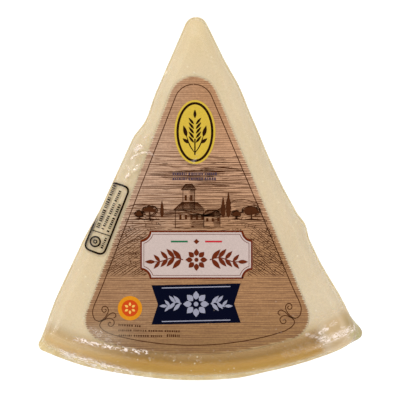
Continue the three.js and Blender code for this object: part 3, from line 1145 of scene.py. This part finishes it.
label = {
    "x": -2.75,
    "apex": 86.1,           # where its two sides would meet
    "halfAngle": 21.85,
    "radius": 167.85,       # from there to its curved foot
    "tip": 13.0,
    "corner": 11.8,
    "steps": {"arc": 90, "corner": 10, "side": 60, "tip": 24},
    "turn": 0.9,            # degrees that the print lies turned on the pack
    "pivot": (-2.75, -20.0),
    "fade": 2.0,            # the band along its edge where the print thins out
    "inner": 20,            # how far in its middle face starts
    "ribPitch": 1.15,       # the fine ribs of the board that the print imitates
    "streaks": (11.11, 0.9091, 1000),   # size of the streaks in them along X, Y and Z
    "patches": 23.81,       # size of the patches of painted sheen, and of the board's grit
    "grit": 0.9091,
    "span": (-85, 45),      # Y between which its colours run from its foot to its top
    "field": [(0.0, "#8f6f46"), (0.25, "#aa805a"), (0.45, "#aa805a"), (0.74, "#d0a485"), (1.0, "#bd8f6a")],
    "rib": "#7f5b43",
    "ribFade": (10, 45),    # Y between which the ribs weaken, toward the top
    "ribDepth": (0.2, 0.95, 0.55),  # how dark: at the least, and at the most at the foot and at the top
    # painted sheen: lighter, pinker patches over the print toward the left and top
    "sheenTone": "#cdb6a6",
    "sheenAcross": (5, -38), # X and Y between which the painted sheen comes in, leftward and upward
    "sheenUp": (-45, -5),
    "mottle": (0.86, 1.14),
    "lightAcross": (5, 22), # X between which the print is painted lighter toward the right, as if lit brighter there, and how much
    "light": 1.08,
}


def turnedPrint(points, degrees):
    points = np.asarray(points, float) - label["pivot"]
    c, s = math.cos(math.radians(degrees)), math.sin(math.radians(degrees))
    return points @ np.array([[c, s], [-s, c]]) + label["pivot"]


def labelLoop(inset):
    # a sector with rounded corners
    steps, x = label["steps"], label["x"]
    half = math.radians(label["halfAngle"])
    apex = label["apex"] - inset / math.sin(half)
    radius = label["radius"] - inset - inset / math.sin(half)
    tip, corner = max(label["tip"] - inset, 1), max(label["corner"] - inset, 1)
    reach = radius - corner
    turn = half - math.asin(corner / reach)

    def at(distance, angle):
        return np.array([x + distance * math.sin(angle), apex - distance * math.cos(angle)])

    tipCentre = np.array([x, apex - tip / math.sin(half)])
    halfTurns, turns = math.degrees(half), math.degrees(turn)
    foot = np.array([at(radius, a) for a in np.linspace(-turn, turn, steps["arc"], endpoint=False)])
    rightCorner = arcRun(at(reach, turn), corner, turns - 90, halfTurns, steps["corner"])
    over = arcRun(tipCentre, tip, halfTurns, 180 - halfTurns, steps["tip"])
    leftCorner = arcRun(at(reach, -turn), corner, 180 - halfTurns, 270 - turns, steps["corner"])
    up = np.linspace(at(reach * math.cos(half - turn), half), over[0], steps["side"], endpoint=False)
    tipEnd = tipCentre + tip * np.array([-math.cos(half), math.sin(half)])
    down = np.linspace(tipEnd, leftCorner[0], steps["side"], endpoint=False)
    return np.concatenate([foot, rightCorner, up, over, down, leftCorner])


def boardRibs(tree, place, height):
    # level ribs in two sizes, stronger and weaker along drawn-out streaks, and weaker toward the top
    pitch = 2 * math.pi / (20 * label["ribPitch"] * mm)
    waves = []
    for scale, distortion in ((pitch, 0.3), (pitch / 2, 0.4)):
        wave = addNode(tree, "TexWave", {"Vector": place, "Scale": scale, "Distortion": distortion,
                                         "Detail": 1.0, "Detail Scale": 0.2},
                       wave_type="BANDS", bands_direction="Y")
        waves.append(wave.outputs["Fac"])
    scale = tuple(perCell(part) for part in label["streaks"])
    drawn = addNode(tree, "VectorMath", (place, scale), operation="MULTIPLY")
    streak = addNode(tree, "TexNoise", {"Vector": drawn, "Scale": 1.0, "Detail": 3.0, "Roughness": 0.6})
    least, low, high = label["ribDepth"]
    most = addNode(tree, "MapRange", (height, *metres(label["ribFade"]), low, high),
                   interpolation_type="SMOOTHSTEP")
    depth = addNode(tree, "MapRange", (streak, 0.35, 0.65, least, most))
    both = addNode(tree, "Math", (waves[1], 0.4, waves[0]), operation="MULTIPLY_ADD")
    return addNode(tree, "Math", (both, depth), operation="MULTIPLY")


def kraftPrint():
    # brown gravure print that imitates corrugated board: fine ribs, streaks where the ribs weaken, edges that
    # thin out; lighter, pinker patches toward the left and top are painted sheen, and the right is painted
    # lighter
    material, tree, place = newMaterial("kraft_look_print")
    x, y = addNode(tree, "SeparateXYZ", (place,)).outputs[:2]
    edge = addNode(tree, "Attribute", attribute_name="edge").outputs["Fac"]
    ribs = boardRibs(tree, place, y)
    upward = addNode(tree, "MapRange", (y, *metres(label["span"])))
    field = addNode(tree, "ValToRGB", (upward,), label["field"])
    # painted sheen in patches toward the left and top
    across = addNode(tree, "MapRange", (x, *metres(label["sheenAcross"])), interpolation_type="SMOOTHSTEP")
    patchy = addNode(tree, "TexNoise", {"Vector": place, "Scale": perCell(label["patches"])})
    patches = addNode(tree, "Math", (across, patchy), operation="MULTIPLY")
    up = addNode(tree, "MapRange", (y, *metres(label["sheenUp"]), 0.15, 0.85), interpolation_type="SMOOTHSTEP")
    sheenShare = addNode(tree, "Math", (patches, up), operation="MULTIPLY")
    sheened = addNode(tree, "Mix", {"Factor": sheenShare, 6: field, 7: ink(label["sheenTone"])},
                     data_type="RGBA").outputs[2]
    grit = addNode(tree, "TexNoise", {"Vector": place, "Scale": perCell(label["grit"])})
    mottle = addNode(tree, "MapRange", (grit, 0.3, 0.7, *label["mottle"]))
    # painted light: the print grows lighter toward the right
    light = addNode(tree, "MapRange", (x, *metres(label["lightAcross"]), 1.0, label["light"]),
                    interpolation_type="SMOOTHSTEP")
    strength = addNode(tree, "Math", (mottle, light), operation="MULTIPLY")
    lit = addNode(tree, "VectorMath", {0: sheened, "Scale": strength}, operation="SCALE")
    ribbed = addNode(tree, "Mix", {"Factor": ribs, 6: lit, 7: ink(label["rib"])}, data_type="RGBA").outputs[2]
    comb = addNode(tree, "Math", (ribs, 1.1, edge), operation="MULTIPLY_ADD")
    cover = addNode(tree, "MapRange", (comb, 0.15, 1.1, 0.1, 1.0), interpolation_type="SMOOTHSTEP")
    tone = addNode(tree, "Mix", {"Factor": cover, 6: pasteTone(tree, place), 7: ribbed},
                   data_type="RGBA").outputs[2]
    finishPrint(tree, tone)
    return material


def makeLabel(material):
    insets = [*np.linspace(0, label["fade"], 7), label["inner"]]
    rows = []
    for inset in insets:
        loop = turnedPrint(labelLoop(inset), label["turn"])
        rows.append(np.column_stack([loop, np.full(len(loop), inkHeight)]))
    piece = wrapGrid(rows)
    setAttribute(piece, "edge", np.repeat(insets, len(rows[0]) + 1))
    closeSeam()
    bpy.ops.object.mode_set(mode="OBJECT")
    edge = piece.data.attributes["edge"].data
    for vertex in piece.data.vertices:
        vertex.select = edge[vertex.index].value > label["fade"] + 1
    bpy.ops.object.mode_set(mode="EDIT")
    capSelected()
    faceUp(piece)
    finishPiece(piece, "label_print", material, ["label_field"])
    print("label: %d faces" % len(piece.data.polygons))


# The thin border with its curls

border = {
    "apex": 78.1,
    "halfAngle": 21.1,
    "tip": 10.2,
    "foot": 163.15,         # radius of the line along the foot, from the label's apex
    "footAngle": 14.3,
    "width": 0.46,
    # the left half's curls, in the photo's pixels
    "curl": [(104.4, 280), (97.9, 296), (94.3, 304.5), (92.8, 311), (94.6, 317.6), (99.2, 320),
             (103.6, 317.8), (107.5, 312.5), (108.3, 308), (105.9, 305.2), (103, 305.8), (102, 308.6),
             (103.6, 311), (105.8, 310.4), (106.2, 308.6), (104.9, 307.8)],
    "scroll": [(110, 332.4), (103.4, 328.8), (100, 324.6), (101.2, 320.8), (105, 318.2), (109.4, 317.2),
               (113, 318.4), (114.3, 321.2), (113, 324.2), (110.2, 325), (108.3, 323), (109.6, 320.9),
               (111.2, 321.6)],
    "twig": [(99, 320.2), (104.2, 318.6), (108.2, 314.2), (112.3, 311.6), (115.3, 312.6), (115.8, 315.2),
             (113.8, 316.6)],
}


def mirrored(points):
    points = np.array(points, float)
    points[:, 0] = 2 * label["x"] - points[:, 0]
    return points


def onPrint(px, py):
    # the photo's pixels to mm on the print before it is turned
    return turnedPrint([photoPlace(px, py)], -label["turn"])[0]


def borderCurl(name):
    return smoothLine([onPrint(*p) for p in border[name]])


def borderStrokes():
    # one half and the same mirrored: from the tip down to the curl, along the foot to the scroll, a twig
    tip, halfAngle = border["tip"], border["halfAngle"]
    centre = np.array([label["x"], border["apex"] - tip / math.sin(math.radians(halfAngle))])
    over = arcRun(centre, tip, 180 - halfAngle, 88, 24)
    turn = np.radians(np.linspace(0, -border["footAngle"], 40))
    foot = np.column_stack([label["x"] + border["foot"] * np.sin(turn),
                            label["apex"] - border["foot"] * np.cos(turn)])
    strokes = []
    side, lower = np.vstack([over[::-1], borderCurl("curl")]), np.vstack([foot, borderCurl("scroll")])
    for line in (side, lower, borderCurl("twig")):
        strokes.append((turnedPrint(line, label["turn"]), border["width"]))
        strokes.append((turnedPrint(mirrored(line), label["turn"]), border["width"]))
    return strokes


# The engraved landscape

engraving = {
    "horizon": -9.5,
    "foot": -41.0,
    "sky": 22.0,
    "line": 0.28,           # width of the pen
    "margin": 1.6,          # how far inside the label's sides it ends
    "ink": "#4e2a16",
    "hills": [
        # peaks with their place, reach and height, and how many lines shade them
        ([(20, 12, 8.5), (40, 13, 5.0)], 12),
        ([(-32, 13, 6.5), (-10, 10, 3.0)], 9),
    ],
    "roundTrees": [  # x, y, size
        (-27.0, -6.6, 3.6), (-32.4, -8.0, 2.2), (18.6, -8.0, 2.3), (26.4, -6.4, 3.9)],
    "tallTrees": [(11.6, 11), (14.4, 13.5), (-20.5, 9)],  # x, height
    "houses": [  # left, foot, width, height, height of the roof
        (-13.5, -15.5, 15, 9.5, 3.8), (1.5, -15, 8.5, 6.4, 2.6), (-9.5, -6, 6.2, 10.5, 3)],
}


def brokenLine(random, line, width, dash, gap):
    # cuts a long line into dashes with thin ends
    found = []
    i = int(random.uniform(0, gap[1]))
    while i < len(line) - 3:
        count = int(random.uniform(*dash))
        part = line[i:i + count]
        if len(part) > 2:
            found.append((part, taper(len(part), width * random.uniform(0.7, 1.2))))
        i += count + int(random.uniform(*gap))
    return found


def fieldHalf(y):
    return (label["apex"] - y) * math.tan(math.radians(label["halfAngle"])) - engraving["margin"]


def hillTop(x, peaks):
    return sum(high * np.exp(-((x - at) / reach) ** 2) for at, reach, high in peaks)


def hatchField(random, wide, tall, heading, pitch, width, dash, gap):
    # parallel pen strokes over a field, cut off at the print's edge
    c, s = math.cos(math.radians(heading)), math.sin(math.radians(heading))
    corners = np.array([(x, y) for x in wide for y in tall])
    over = corners @ np.array([-s, c])
    along = corners @ np.array([c, s])
    strokes = []
    for at in np.arange(over.min(), over.max(), pitch):
        at = at + random.normal(0, pitch * 0.12)
        t = np.arange(along.min(), along.max(), 0.4)
        off = at + 0.25 * np.sin(t * 0.35 + at)
        x, y = t * c - off * s, t * s + off * c
        inside = (x > wide[0]) & (x < wide[1]) & (y > tall[0]) & (y < tall[1])
        inside &= np.abs(x - label["x"]) < fieldHalf(y) + random.uniform(-1.2, 0.8)
        line = np.column_stack([x, y])[inside]
        if len(line) > 4:
            strokes += brokenLine(random, line, width, dash, gap)
    return strokes


def skyStrokes(random):
    # level dashes, closer together under the emblem and toward the ground
    strokes, pen = [], engraving["line"]
    y = engraving["sky"]
    while y > engraving["horizon"] + 0.6:
        half = fieldHalf(y)
        x = np.linspace(-half, half, int(half * 4)) + label["x"]
        line = np.column_stack([x, y + 0.12 * np.sin(x * 0.35 + y)])
        heavy = 1.35 if 3 < y < 17 else 0.95
        strokes += brokenLine(random, line, pen * heavy, (20, 110), (12, 70))
        y -= random.uniform(0.75, 1.3) / heavy
    for _ in range(80):  # a bank of cloud
        x, y = random.normal(-2, 14), random.normal(13.5, 4)
        size = random.uniform(2, 9)
        if abs(x - label["x"]) + size / 2 < fieldHalf(y):
            line = [(x - size / 2, y), (x, y + random.normal(0, 0.1)), (x + size / 2, y)]
            strokes.append((line, taper(3, pen)))
    return strokes


def hillStrokes(random):
    # the horizon, and rolling hills with strokes that follow the slope
    strokes, pen, horizon = [], engraving["line"], engraving["horizon"]
    half = fieldHalf(horizon)
    for y, width in ((horizon, 1.5), (horizon - 1.5, 1.0)):
        x = np.linspace(-half, half, 200) + label["x"]
        line = np.column_stack([x, y + 0.15 * np.sin(x * 0.5)])
        strokes += brokenLine(random, line, pen * width, (40, 120), (1, 5))
    for peaks, rows in engraving["hills"]:
        x = np.linspace(-48, 46, 380)
        ridge = hillTop(x, peaks)
        inside = (ridge > 0.5) & (np.abs(x - label["x"]) < half - 1.5)
        strokes.append((np.column_stack([x, horizon + ridge])[inside], pen * 1.4))
        for k in range(1, rows):
            line = np.column_stack([x, horizon + ridge * (1 - k / rows)])[inside]
            strokes += brokenLine(random, line, pen, (14, 60), (3, 16))
    return strokes


def fieldStrokes(random):
    # fields on both sides: hatched by furrows that run to the front, with shaded rows between them
    strokes, pen, horizon, foot = [], engraving["line"], engraving["horizon"], engraving["foot"]
    for wide, tall, heading, pitch, width, dash, gap in (
            ((-50, -18), (-17, horizon - 1.5), 4, 1.0, 1.1, (10, 60), (2, 8)),
            ((-54, -28), (foot, -16), 31, 1.05, 1.2, (16, 60), (1, 4)),
            ((-54, -28), (foot + 5, -19), -12, 2.2, 1.0, (5, 16), (5, 20)),
            ((14, 46), (-16, horizon - 1.5), -4, 1.0, 1.1, (10, 60), (2, 8)),
            ((24, 50), (foot, -15), -36, 1.05, 1.2, (16, 60), (1, 4)),
            ((24, 50), (foot + 5, -18), 10, 2.2, 1.0, (5, 16), (5, 20)),
            ((-20, 18), (-17.5, horizon - 1.5), 2, 1.2, 1.1, (6, 24), (4, 16))):
        strokes += hatchField(random, wide, tall, heading, pitch, pen * width, dash, gap)
    for _ in range(260):  # tufts of grass
        y = random.uniform(foot + 1, horizon - 1)
        side = 1 if random.random() < 0.5 else -1
        x = label["x"] + side * random.uniform(0.45, 1) * (fieldHalf(y) - 0.5)
        lean = math.radians(random.uniform(35, 80))
        along = np.linspace(0, 1, 4) * random.uniform(0.8, 1.9)
        blade = np.column_stack([x + side * along * math.cos(lean), y + along * math.sin(lean)])
        strokes.append((blade, taper(4, pen)))
    return strokes


def treeShapes(random):
    strokes, shapes, pen = [], [], engraving["line"]
    for x, y, size in engraving["roundTrees"]:  # dark crowns of many short strokes on a trunk, with shadows
        turn = np.arange(30) * 2 * math.pi / 30
        crown = size * (1 + 0.12 * random.standard_normal(30))
        shapes.append(np.column_stack([x + crown * np.cos(turn), y + 0.66 * crown * np.sin(turn)]))
        strokes.append(([(x, y), (x + 0.2, y - size * 1.2)], 0.7))
        shadow = [(x - size * 1.1, y - size * 1.25), (x, y - size * 1.15), (x + size * 1.4, y - size * 1.3)]
        strokes.append((shadow, taper(3, 1.1)))
        for _ in range(46):
            start, away = random.uniform(0, 2 * math.pi), size * random.uniform(0.8, 1.28)
            bit = np.linspace(start, start + 0.5, 5)
            strokes.append((np.column_stack([x + away * np.cos(bit), y + 0.66 * away * np.sin(bit)]), pen))
    for x, high in engraving["tallTrees"]:
        t = np.linspace(0, 1, 18)
        half = high * 0.1 * np.sin(math.pi * t ** 0.7) * (1 + 0.12 * random.standard_normal(18)) + 0.08
        y = engraving["horizon"] - 0.6 + high * t
        shapes.append(np.vstack([np.column_stack([x - half, y]), np.column_stack([x + half, y])[::-1]]))
    return strokes, shapes


def houseShapes(random):
    # a farmhouse with a tower, hatched on its shaded sides
    strokes, shapes, pen = [], [], engraving["line"]
    for left, low, wide, high, roof in engraving["houses"]:
        right, top = left + wide, low + high
        hip = wide * 0.22
        strokes.append(([(left, low), (left, top), (right, top), (right, low), (left, low)], pen * 1.6))
        strokes.append(([(left - 0.8, top), (left + hip, top + roof), (right - hip, top + roof),
                         (right + 0.8, top), (left - 0.8, top)], pen * 1.9))
        for x in np.arange(left, right + 0.3, 0.62):  # tiles
            head = left + hip + wide * 0.56 * (x - left) / wide
            strokes.append(([(x, top + 0.1), (head, top + roof - 0.1)], pen * 1.1))
        for y in np.arange(low + 0.5, top, 0.6):  # shade
            reach = wide * random.uniform(0.36, 0.5)
            strokes.append(([(right - reach, y), (right, y + 0.15)], pen))
        sill, lintel = low + high * 0.46, low + high * 0.74
        for x in np.arange(left + wide * 0.14, right - 1, 2.9):  # windows
            shapes.append([(x, sill), (x + 1.2, sill), (x + 1.2, lintel), (x, lintel)])
    return strokes, shapes


def landscape():
    random = np.random.default_rng(11)
    strokes = skyStrokes(random) + hillStrokes(random) + fieldStrokes(random)
    shapes = []
    for draw in (treeShapes, houseShapes):
        moreStrokes, moreShapes = draw(random)
        strokes += moreStrokes
        shapes += moreShapes
    return strokes, shapes


def makeEngraving(material):
    strokes, shapes = landscape()
    strokes += borderStrokes()
    finishPiece(addStrokes(strokes, layerHeight("engravedLines")), "engraved_lines", material)
    finishPiece(addShapes(shapes, layerHeight("engravedShapes")), "engraved_shapes", material)
    print("engraving: %d strokes" % len(strokes))


# The yellow emblem

badge = {
    "x": -3.2, "y": 34.9, "width": 21.6, "height": 33.6,
    "rim": 1.7,             # how far in its rim lies
    "rimWidth": 1.25,
    "ear": (0.72, 1.28),    # its foot below the middle, and its length, as shares of half the height
    "grain": 4.6,
    "stem": (0.4, 0.7),     # the stem's share of the ear's length, and its width
    "yellow": "#d8b744", "dark": "#2a170a",
}


def wheatEar(x, y, length, size, pairs=5):
    # a plain ear of wheat: grains in pairs up a stem, one on top
    grains = [leaf(x, y + length * 0.90, 90, size, size * 0.34)]
    for i in range(pairs):
        level = y + length * (0.30 + 0.56 * i / pairs)
        grains += [leaf(x + side * 0.5, level, 90 - side * 38, size, size * 0.27) for side in (-1, 1)]
    return grains


def makeBadge(yellow, dark):
    x, y, wide, high = badge["x"], badge["y"], badge["width"] / 2, badge["height"] / 2
    plate = addShapes([circle(x, y, wide, 72, high)], layerHeight("plate"))
    finishPiece(plate, "badge_plate", yellow, ["badge_field"])
    low, length = y - high * badge["ear"][0], high * badge["ear"][1]
    stem, stemWidth = badge["stem"]
    rim = closedRun(circle(x, y, wide - badge["rim"], 72, high - badge["rim"]))
    strokes = [(rim, badge["rimWidth"]), ([(x, low), (x, low + length * stem)], stemWidth)]
    grains = wheatEar(x, low, length, badge["grain"])
    for side in (-1, 1):  # two blades at the foot
        stalk = smoothLine([(x, low + 1), (x + side * 2.6, low + 5), (x + side * 4.6, low + 10.5)])
        strokes.append((stalk, taper(len(stalk), 0.6)))
        grains.append(leaf(x + side * 4.3, low + 9.6, 90 - side * 16, 6.2, 2.0))
        grains.append(leaf(x + side * 3.2, low + 6.2, 90 - side * 52, 4.2, 1.7))
    finishPiece(addStrokes(strokes, layerHeight("plateLines")), "badge_rim", dark)
    finishPiece(addShapes(grains, layerHeight("plateShapes")), "badge_wheat_ear", dark)
    print("emblem: %d grains and leaves" % len(grains))


# The cream plate

banner = {
    "x": -2.4, "y": -29.6, "width": 59.0, "height": 25.4,
    "scoop": 5.0,
    "lines": [(0.45, 1.1), (1.9, 0.3)],     # how far in each border line lies, and its width
    "ornament": -2.6,       # height of the row of sprigs, from the plate's middle
    "bars": 7.0,            # and of the two coloured bars
    "barWidth": 0.9,
    "barEnds": (4.6, 13.4),
    "rosette": (5.8, 8, 2.7, 1.1),      # its radius, petals, their width, its hub's radius
    "sprig": (7.0, 14.6, 4, 6.9, 0.55), # its start, length, pairs of leaves, their size, the stem's width
    "cream": "#cdbab4", "brown": "#6a2a14", "green": "#2c6e4a", "red": "#c8323a",
}


def scoopedLoop(inset):
    # a rectangle with its corners scooped out
    radius = banner["scoop"] + inset
    swing = math.degrees(math.asin(inset / radius))
    half, rise = banner["width"] / 2, banner["height"] / 2
    points = []
    for sideways, up, start in ((1, -1, 180), (1, 1, 270), (-1, 1, 0), (-1, -1, 90)):
        corner = np.array([banner["x"] + sideways * half, banner["y"] + up * rise])
        angles = np.radians(np.linspace(start - swing, start - 90 + swing, 12))
        points.append(corner + radius * np.column_stack([np.cos(angles), np.sin(angles)]))
    return np.vstack(points)


def sprig(x, y, side, length, pairs, size):
    # a stem of leaves that lies to one side, in the manner of a printer's ornament
    t = np.linspace(0, 1, 30)
    stem = np.column_stack([x + side * length * t, y + 1.1 * np.sin(t * math.pi * 1.6)])
    outward = 90 - side * 90
    leaves = []
    for i in range(pairs):
        foot = stem[int(2 + 22 * i / (pairs - 1))]
        scale = size * (1 - 0.35 * i / pairs)
        leaves += [leaf(*foot, outward + side * up * 48, scale, scale * 0.36) for up in (-1, 1)]
    leaves.append(leaf(*stem[-1], outward, size * 0.8, size * 0.3))
    return stem, leaves


def rosetteAndSprigs(x, y, plate):
    # a rosette between two sprigs
    radius, petals, petalWidth, hub = plate["rosette"]
    start, length, pairs, size, stemWidth = plate["sprig"]
    shapes = rosette(x, y, radius, petals, petalWidth) + [circle(x, y, hub, 20)]
    strokes = []
    for side in (-1, 1):
        stem, leaves = sprig(x + side * start, y, side, length, pairs, size)
        strokes.append((stem, stemWidth))
        shapes += leaves
    return strokes, shapes


def makeBanner(cream, brown, green, red):
    x, y = banner["x"], banner["y"]
    row, bars, half = y + banner["ornament"], y + banner["bars"], banner["barWidth"] / 2
    plate = addShapes([scoopedLoop(0)], layerHeight("plate"))
    finishPiece(plate, "banner_plate", cream, ["banner_field"])
    stems, shapes = rosetteAndSprigs(x, row, banner)
    strokes = [(closedRun(scoopedLoop(inset)), width) for inset, width in banner["lines"]] + stems
    shapes.append([(x - 1.5, bars), (x, bars + 1.4), (x + 1.5, bars), (x, bars - 1.4)])
    finishPiece(addStrokes(strokes, layerHeight("plateLines")), "banner_lines", brown)
    finishPiece(addShapes(shapes, layerHeight("plateShapes")), "banner_sprigs", brown)
    near, far = banner["barEnds"]
    for name, side, material in (("banner_green_bar", -1, green), ("banner_red_bar", 1, red)):
        start, end = sorted((x + side * near, x + side * far))
        bar = [(start, bars - half), (end, bars - half), (end, bars + half), (start, bars + half)]
        finishPiece(addShapes([bar], layerHeight("plateShapes")), name, material)
    print("cream plate: %d shapes" % len(shapes))


# The navy plate

ribbon = {
    "x": -2.6, "y": -55.4, "width": 46.8, "height": 20.6,
    "notch": 3.4,
    "lean": 1.0,            # how much higher its right end lies than its left
    "line": (5.4, 1.5, 0.5),            # how far its lines lie from the ends and the edges, and their width
    "rosette": (6.8, 8, 3.2, 1.2),
    "sprig": (7.8, 7.2, 3, 5.4, 0.8),
    "navy": "#070a1e", "pale": "#9c9cae",
}


def makeRibbon(navy, pale):
    x, y, notch, lean = ribbon["x"], ribbon["y"], ribbon["notch"], ribbon["lean"] / 2
    half, rise = ribbon["width"] / 2, ribbon["height"] / 2
    plate = [(x - half, y - rise - lean), (x + half, y - rise + lean), (x + half - notch, y + lean / 2),
             (x + half, y + rise + lean), (x - half, y + rise - lean), (x - half + notch, y - lean / 2)]
    ground = addShapes([plate], layerHeight("plate"))
    finishPiece(ground, "ribbon_plate", navy, ["ribbon_field"])
    strokes, shapes = rosetteAndSprigs(x, y, ribbon)
    fromEnd, fromEdge, width = ribbon["line"]
    for up in (-1, 1):
        height = y + up * (rise - fromEdge)
        line = [(x - half + fromEnd, height - lean * 0.8), (x + half - fromEnd, height + lean * 0.8)]
        strokes.append((line, width))
    finishPiece(addShapes(shapes, layerHeight("plateShapes")), "ribbon_sprigs", pale)
    finishPiece(addStrokes(strokes, layerHeight("plateLines")), "ribbon_lines", pale)
    print("navy plate: %d shapes" % len(shapes))


# The round seal

seal = {
    "x": -37.3, "y": -57.6, "width": 12.8,
    "inner": 0.68,          # the inner disc's share of its radius, and the flower's
    "flower": 0.5,
    "petals": (6, 1.3),
    "amber": "#de8f1e", "red": "#cf4a1a", "pale": "#f0c060",
}


def makeSeal(amber, red, pale):
    x, y, radius = seal["x"], seal["y"], seal["width"] / 2
    disc = addShapes([circle(x, y, radius, 60)], layerHeight("plate"))
    finishPiece(disc, "seal_disc", amber, ["seal_field"])
    inner = addShapes([circle(x, y, radius * seal["inner"], 48)], layerHeight("plateLines"))
    finishPiece(inner, "seal_inner", red)
    flower = addShapes(rosette(x, y, radius * seal["flower"], *seal["petals"]), layerHeight("plateShapes"))
    finishPiece(flower, "seal_flower", pale)


# Small rules where the small print goes, and the outlined panel on the shoulder

panel = {
    "corners": [(110.5, 181.1), (129.6, 187.4), (103.2, 254.6), (83.6, 246.9)],   # the photo's pixels
    "line": 1.0,
    "round": 3.4,
    "fromEdge": 0.35,       # how close to the pack's edge it is drawn in
    "under": 0.15,          # how far under the film it lies
    # places in it run from its top to its foot, and from left to right, both 0 to 1
    "divider": [(0.725, 0.03), (0.715, 0.97)],
    "dividerWidth": 0.5,
    "bars": [((0.03, 0.24), (0.67, 0.25), 1.8), ((0.08, 0.61), (0.68, 0.50), 1.4),
             ((0.26, 0.84), (0.69, 0.78), 1.4), ((0.76, 0.82), (0.95, 0.79), 1.2)],
    "ringPlace": (0.86, 0.40),
    "rings": [(2.6, 28, 0.9), (0.9, 16, 0.7)],      # radius, steps, width
    "ink": "#201204",
}
rules = {
    "upper": (194.6, 176),  # the middle of the upper two rows, in the photo's pixels
    "upperHalf": 11.8,
    "upperRows": (1.3, -1.3),
    # the lower rows: both ends in the photo's pixels, and the bars' height in mm
    "lower": [((118.5, 323.5), (141, 325), 1.0), ((118.5, 329), (180, 330), 1.0),
              ((118.5, 334), (163, 334.8), 1.0), ((166.5, 334.2), (181.5, 334.6), 1.4)],
    "grey": "#544450",
}


def dashes(random, start, end, width, mark=(0.5, 1.3), gap=(0.3, 0.5), every=7):
    # a row of small bars, with a wider gap now and then
    start, end = np.asarray(start, float), np.asarray(end, float)
    length = np.linalg.norm(end - start)
    heading = (end - start) / length
    found = []
    at, count = 0.0, 0
    while at < length - mark[0]:
        size = min(random.uniform(*mark), length - at)
        found.append((np.array([start + heading * at, start + heading * (at + size)]), width))
        count += 1
        at += size + (gap[1] * 2.2 if count % every == 0 else random.uniform(*gap))
    return found


def roundedRun(corners, radius):
    points = []
    for before, here, after in zip(np.roll(corners, 1, axis=0), corners, np.roll(corners, -1, axis=0)):
        start = here + (before - here) / np.linalg.norm(before - here) * radius
        end = here + (after - here) / np.linalg.norm(after - here) * radius
        t = np.linspace(0, 1, 9)[:, None]
        points.append((1 - t) ** 2 * start + 2 * t * (1 - t) * here + t ** 2 * end)
    return np.vstack(points)


def refined(line, step=0.7):
    # the same line with a point every step, so that it can follow the film
    line = np.asarray(line, float)
    lengths = np.linalg.norm(np.diff(line, axis=0), axis=1)
    run = np.concatenate([[0], np.cumsum(lengths)])
    count = max(int(run[-1] / step), 2)
    at = np.linspace(0, run[-1], count)
    return np.column_stack([np.interp(at, run, line[:, 0]), np.interp(at, run, line[:, 1])])


def makePanel(material, filmPiece):
    corners = np.array([photoPlace(*p) for p in panel["corners"]])
    a, b, c, d = corners

    def at(down, across):
        left, right = a + (d - a) * down, b + (c - b) * down
        return left + (right - left) * across

    random = np.random.default_rng(5)
    strokes = [(refined(closedRun(roundedRun(corners, panel["round"]))), panel["line"]),
               (refined([at(*place) for place in panel["divider"]]), panel["dividerWidth"])]
    for start, end, width in panel["bars"]:
        strokes += dashes(random, at(*start), at(*end), width, (0.4, 0.9), (0.34, 0.5), 6)
    for radius, steps, width in panel["rings"]:
        strokes.append((refined(closedRun(circle(*at(*panel["ringPlace"]), radius, steps))), width))
    piece = addStrokes(strokes, film["top"] + 9)
    plan = coordinates(piece) / mm
    distance, angle = wheelPlace(plan[:, 0], plan[:, 1])
    gap = distance * np.sin(np.radians(sideAngle(leftSide, distance) + angle))
    beyond = np.maximum(panel["fromEdge"] - gap, 0)  # what runs out over the edge goes on down the wall

    def drawnIn(more):
        return polar(distance, angle + np.degrees((beyond + more) / distance))

    setCoordinates(piece, np.column_stack([drawnIn(0), plan[:, 2]]) * mm)
    applyModifier(piece, "SHRINKWRAP", target=filmPiece, wrap_method="PROJECT", use_project_z=True,
                  use_negative_direction=True, use_positive_direction=False)
    height = coordinates(piece)[:, 2] / mm - beyond - panel["under"]  # printed on the web's inner face
    setCoordinates(piece, np.column_stack([drawnIn(panel["under"]), height]) * mm)
    finishPiece(piece, "shoulder_panel", material)
    print("panel: %d strokes" % len(strokes))


def makeRules(grey, brown):
    # rows of small bars where the pack has its small print
    random = np.random.default_rng(6)
    x, y = photoPlace(*rules["upper"])
    half = rules["upperHalf"]
    upper, lower = [], []
    for up in rules["upperRows"]:
        upper += dashes(random, (x - half, y + up), (x + half, y + up), 1.5, (0.5, 1.0), (0.3, 0.45))
    for start, end, width in rules["lower"]:
        lower += dashes(random, photoPlace(*start), photoPlace(*end), width, (0.4, 0.9), (0.35, 0.5))
    finishPiece(addStrokes(upper, layerHeight("rules")), "grey_rules", grey)
    finishPiece(addStrokes(lower, layerHeight("rules")), "small_rules", brown)


makeStudio()
makeCheese(agedCheese())
filmPiece = makeFilm(clearFilm())
makeWeld(milkyWeld())
makeLabel(kraftPrint())
engravingInk = printInk("engraving_ink", engraving["ink"])
makeEngraving(engravingInk)
makeBadge(printInk("yellow_ink", badge["yellow"]), printInk("dark_brown_ink", badge["dark"]))
makeBanner(printInk("cream_ink", banner["cream"]), printInk("chestnut_ink", banner["brown"]),
           printInk("green_ink", banner["green"]), printInk("red_ink", banner["red"]))
makeRibbon(printInk("navy_ink", ribbon["navy"]), printInk("pale_grey_ink", ribbon["pale"]))
makeSeal(printInk("amber_ink", seal["amber"]), printInk("vermilion_ink", seal["red"]),
         printInk("straw_ink", seal["pale"]))
makeRules(printInk("purple_grey_ink", rules["grey"]), engravingInk)
makePanel(printInk("black_ink", panel["ink"]), filmPiece)
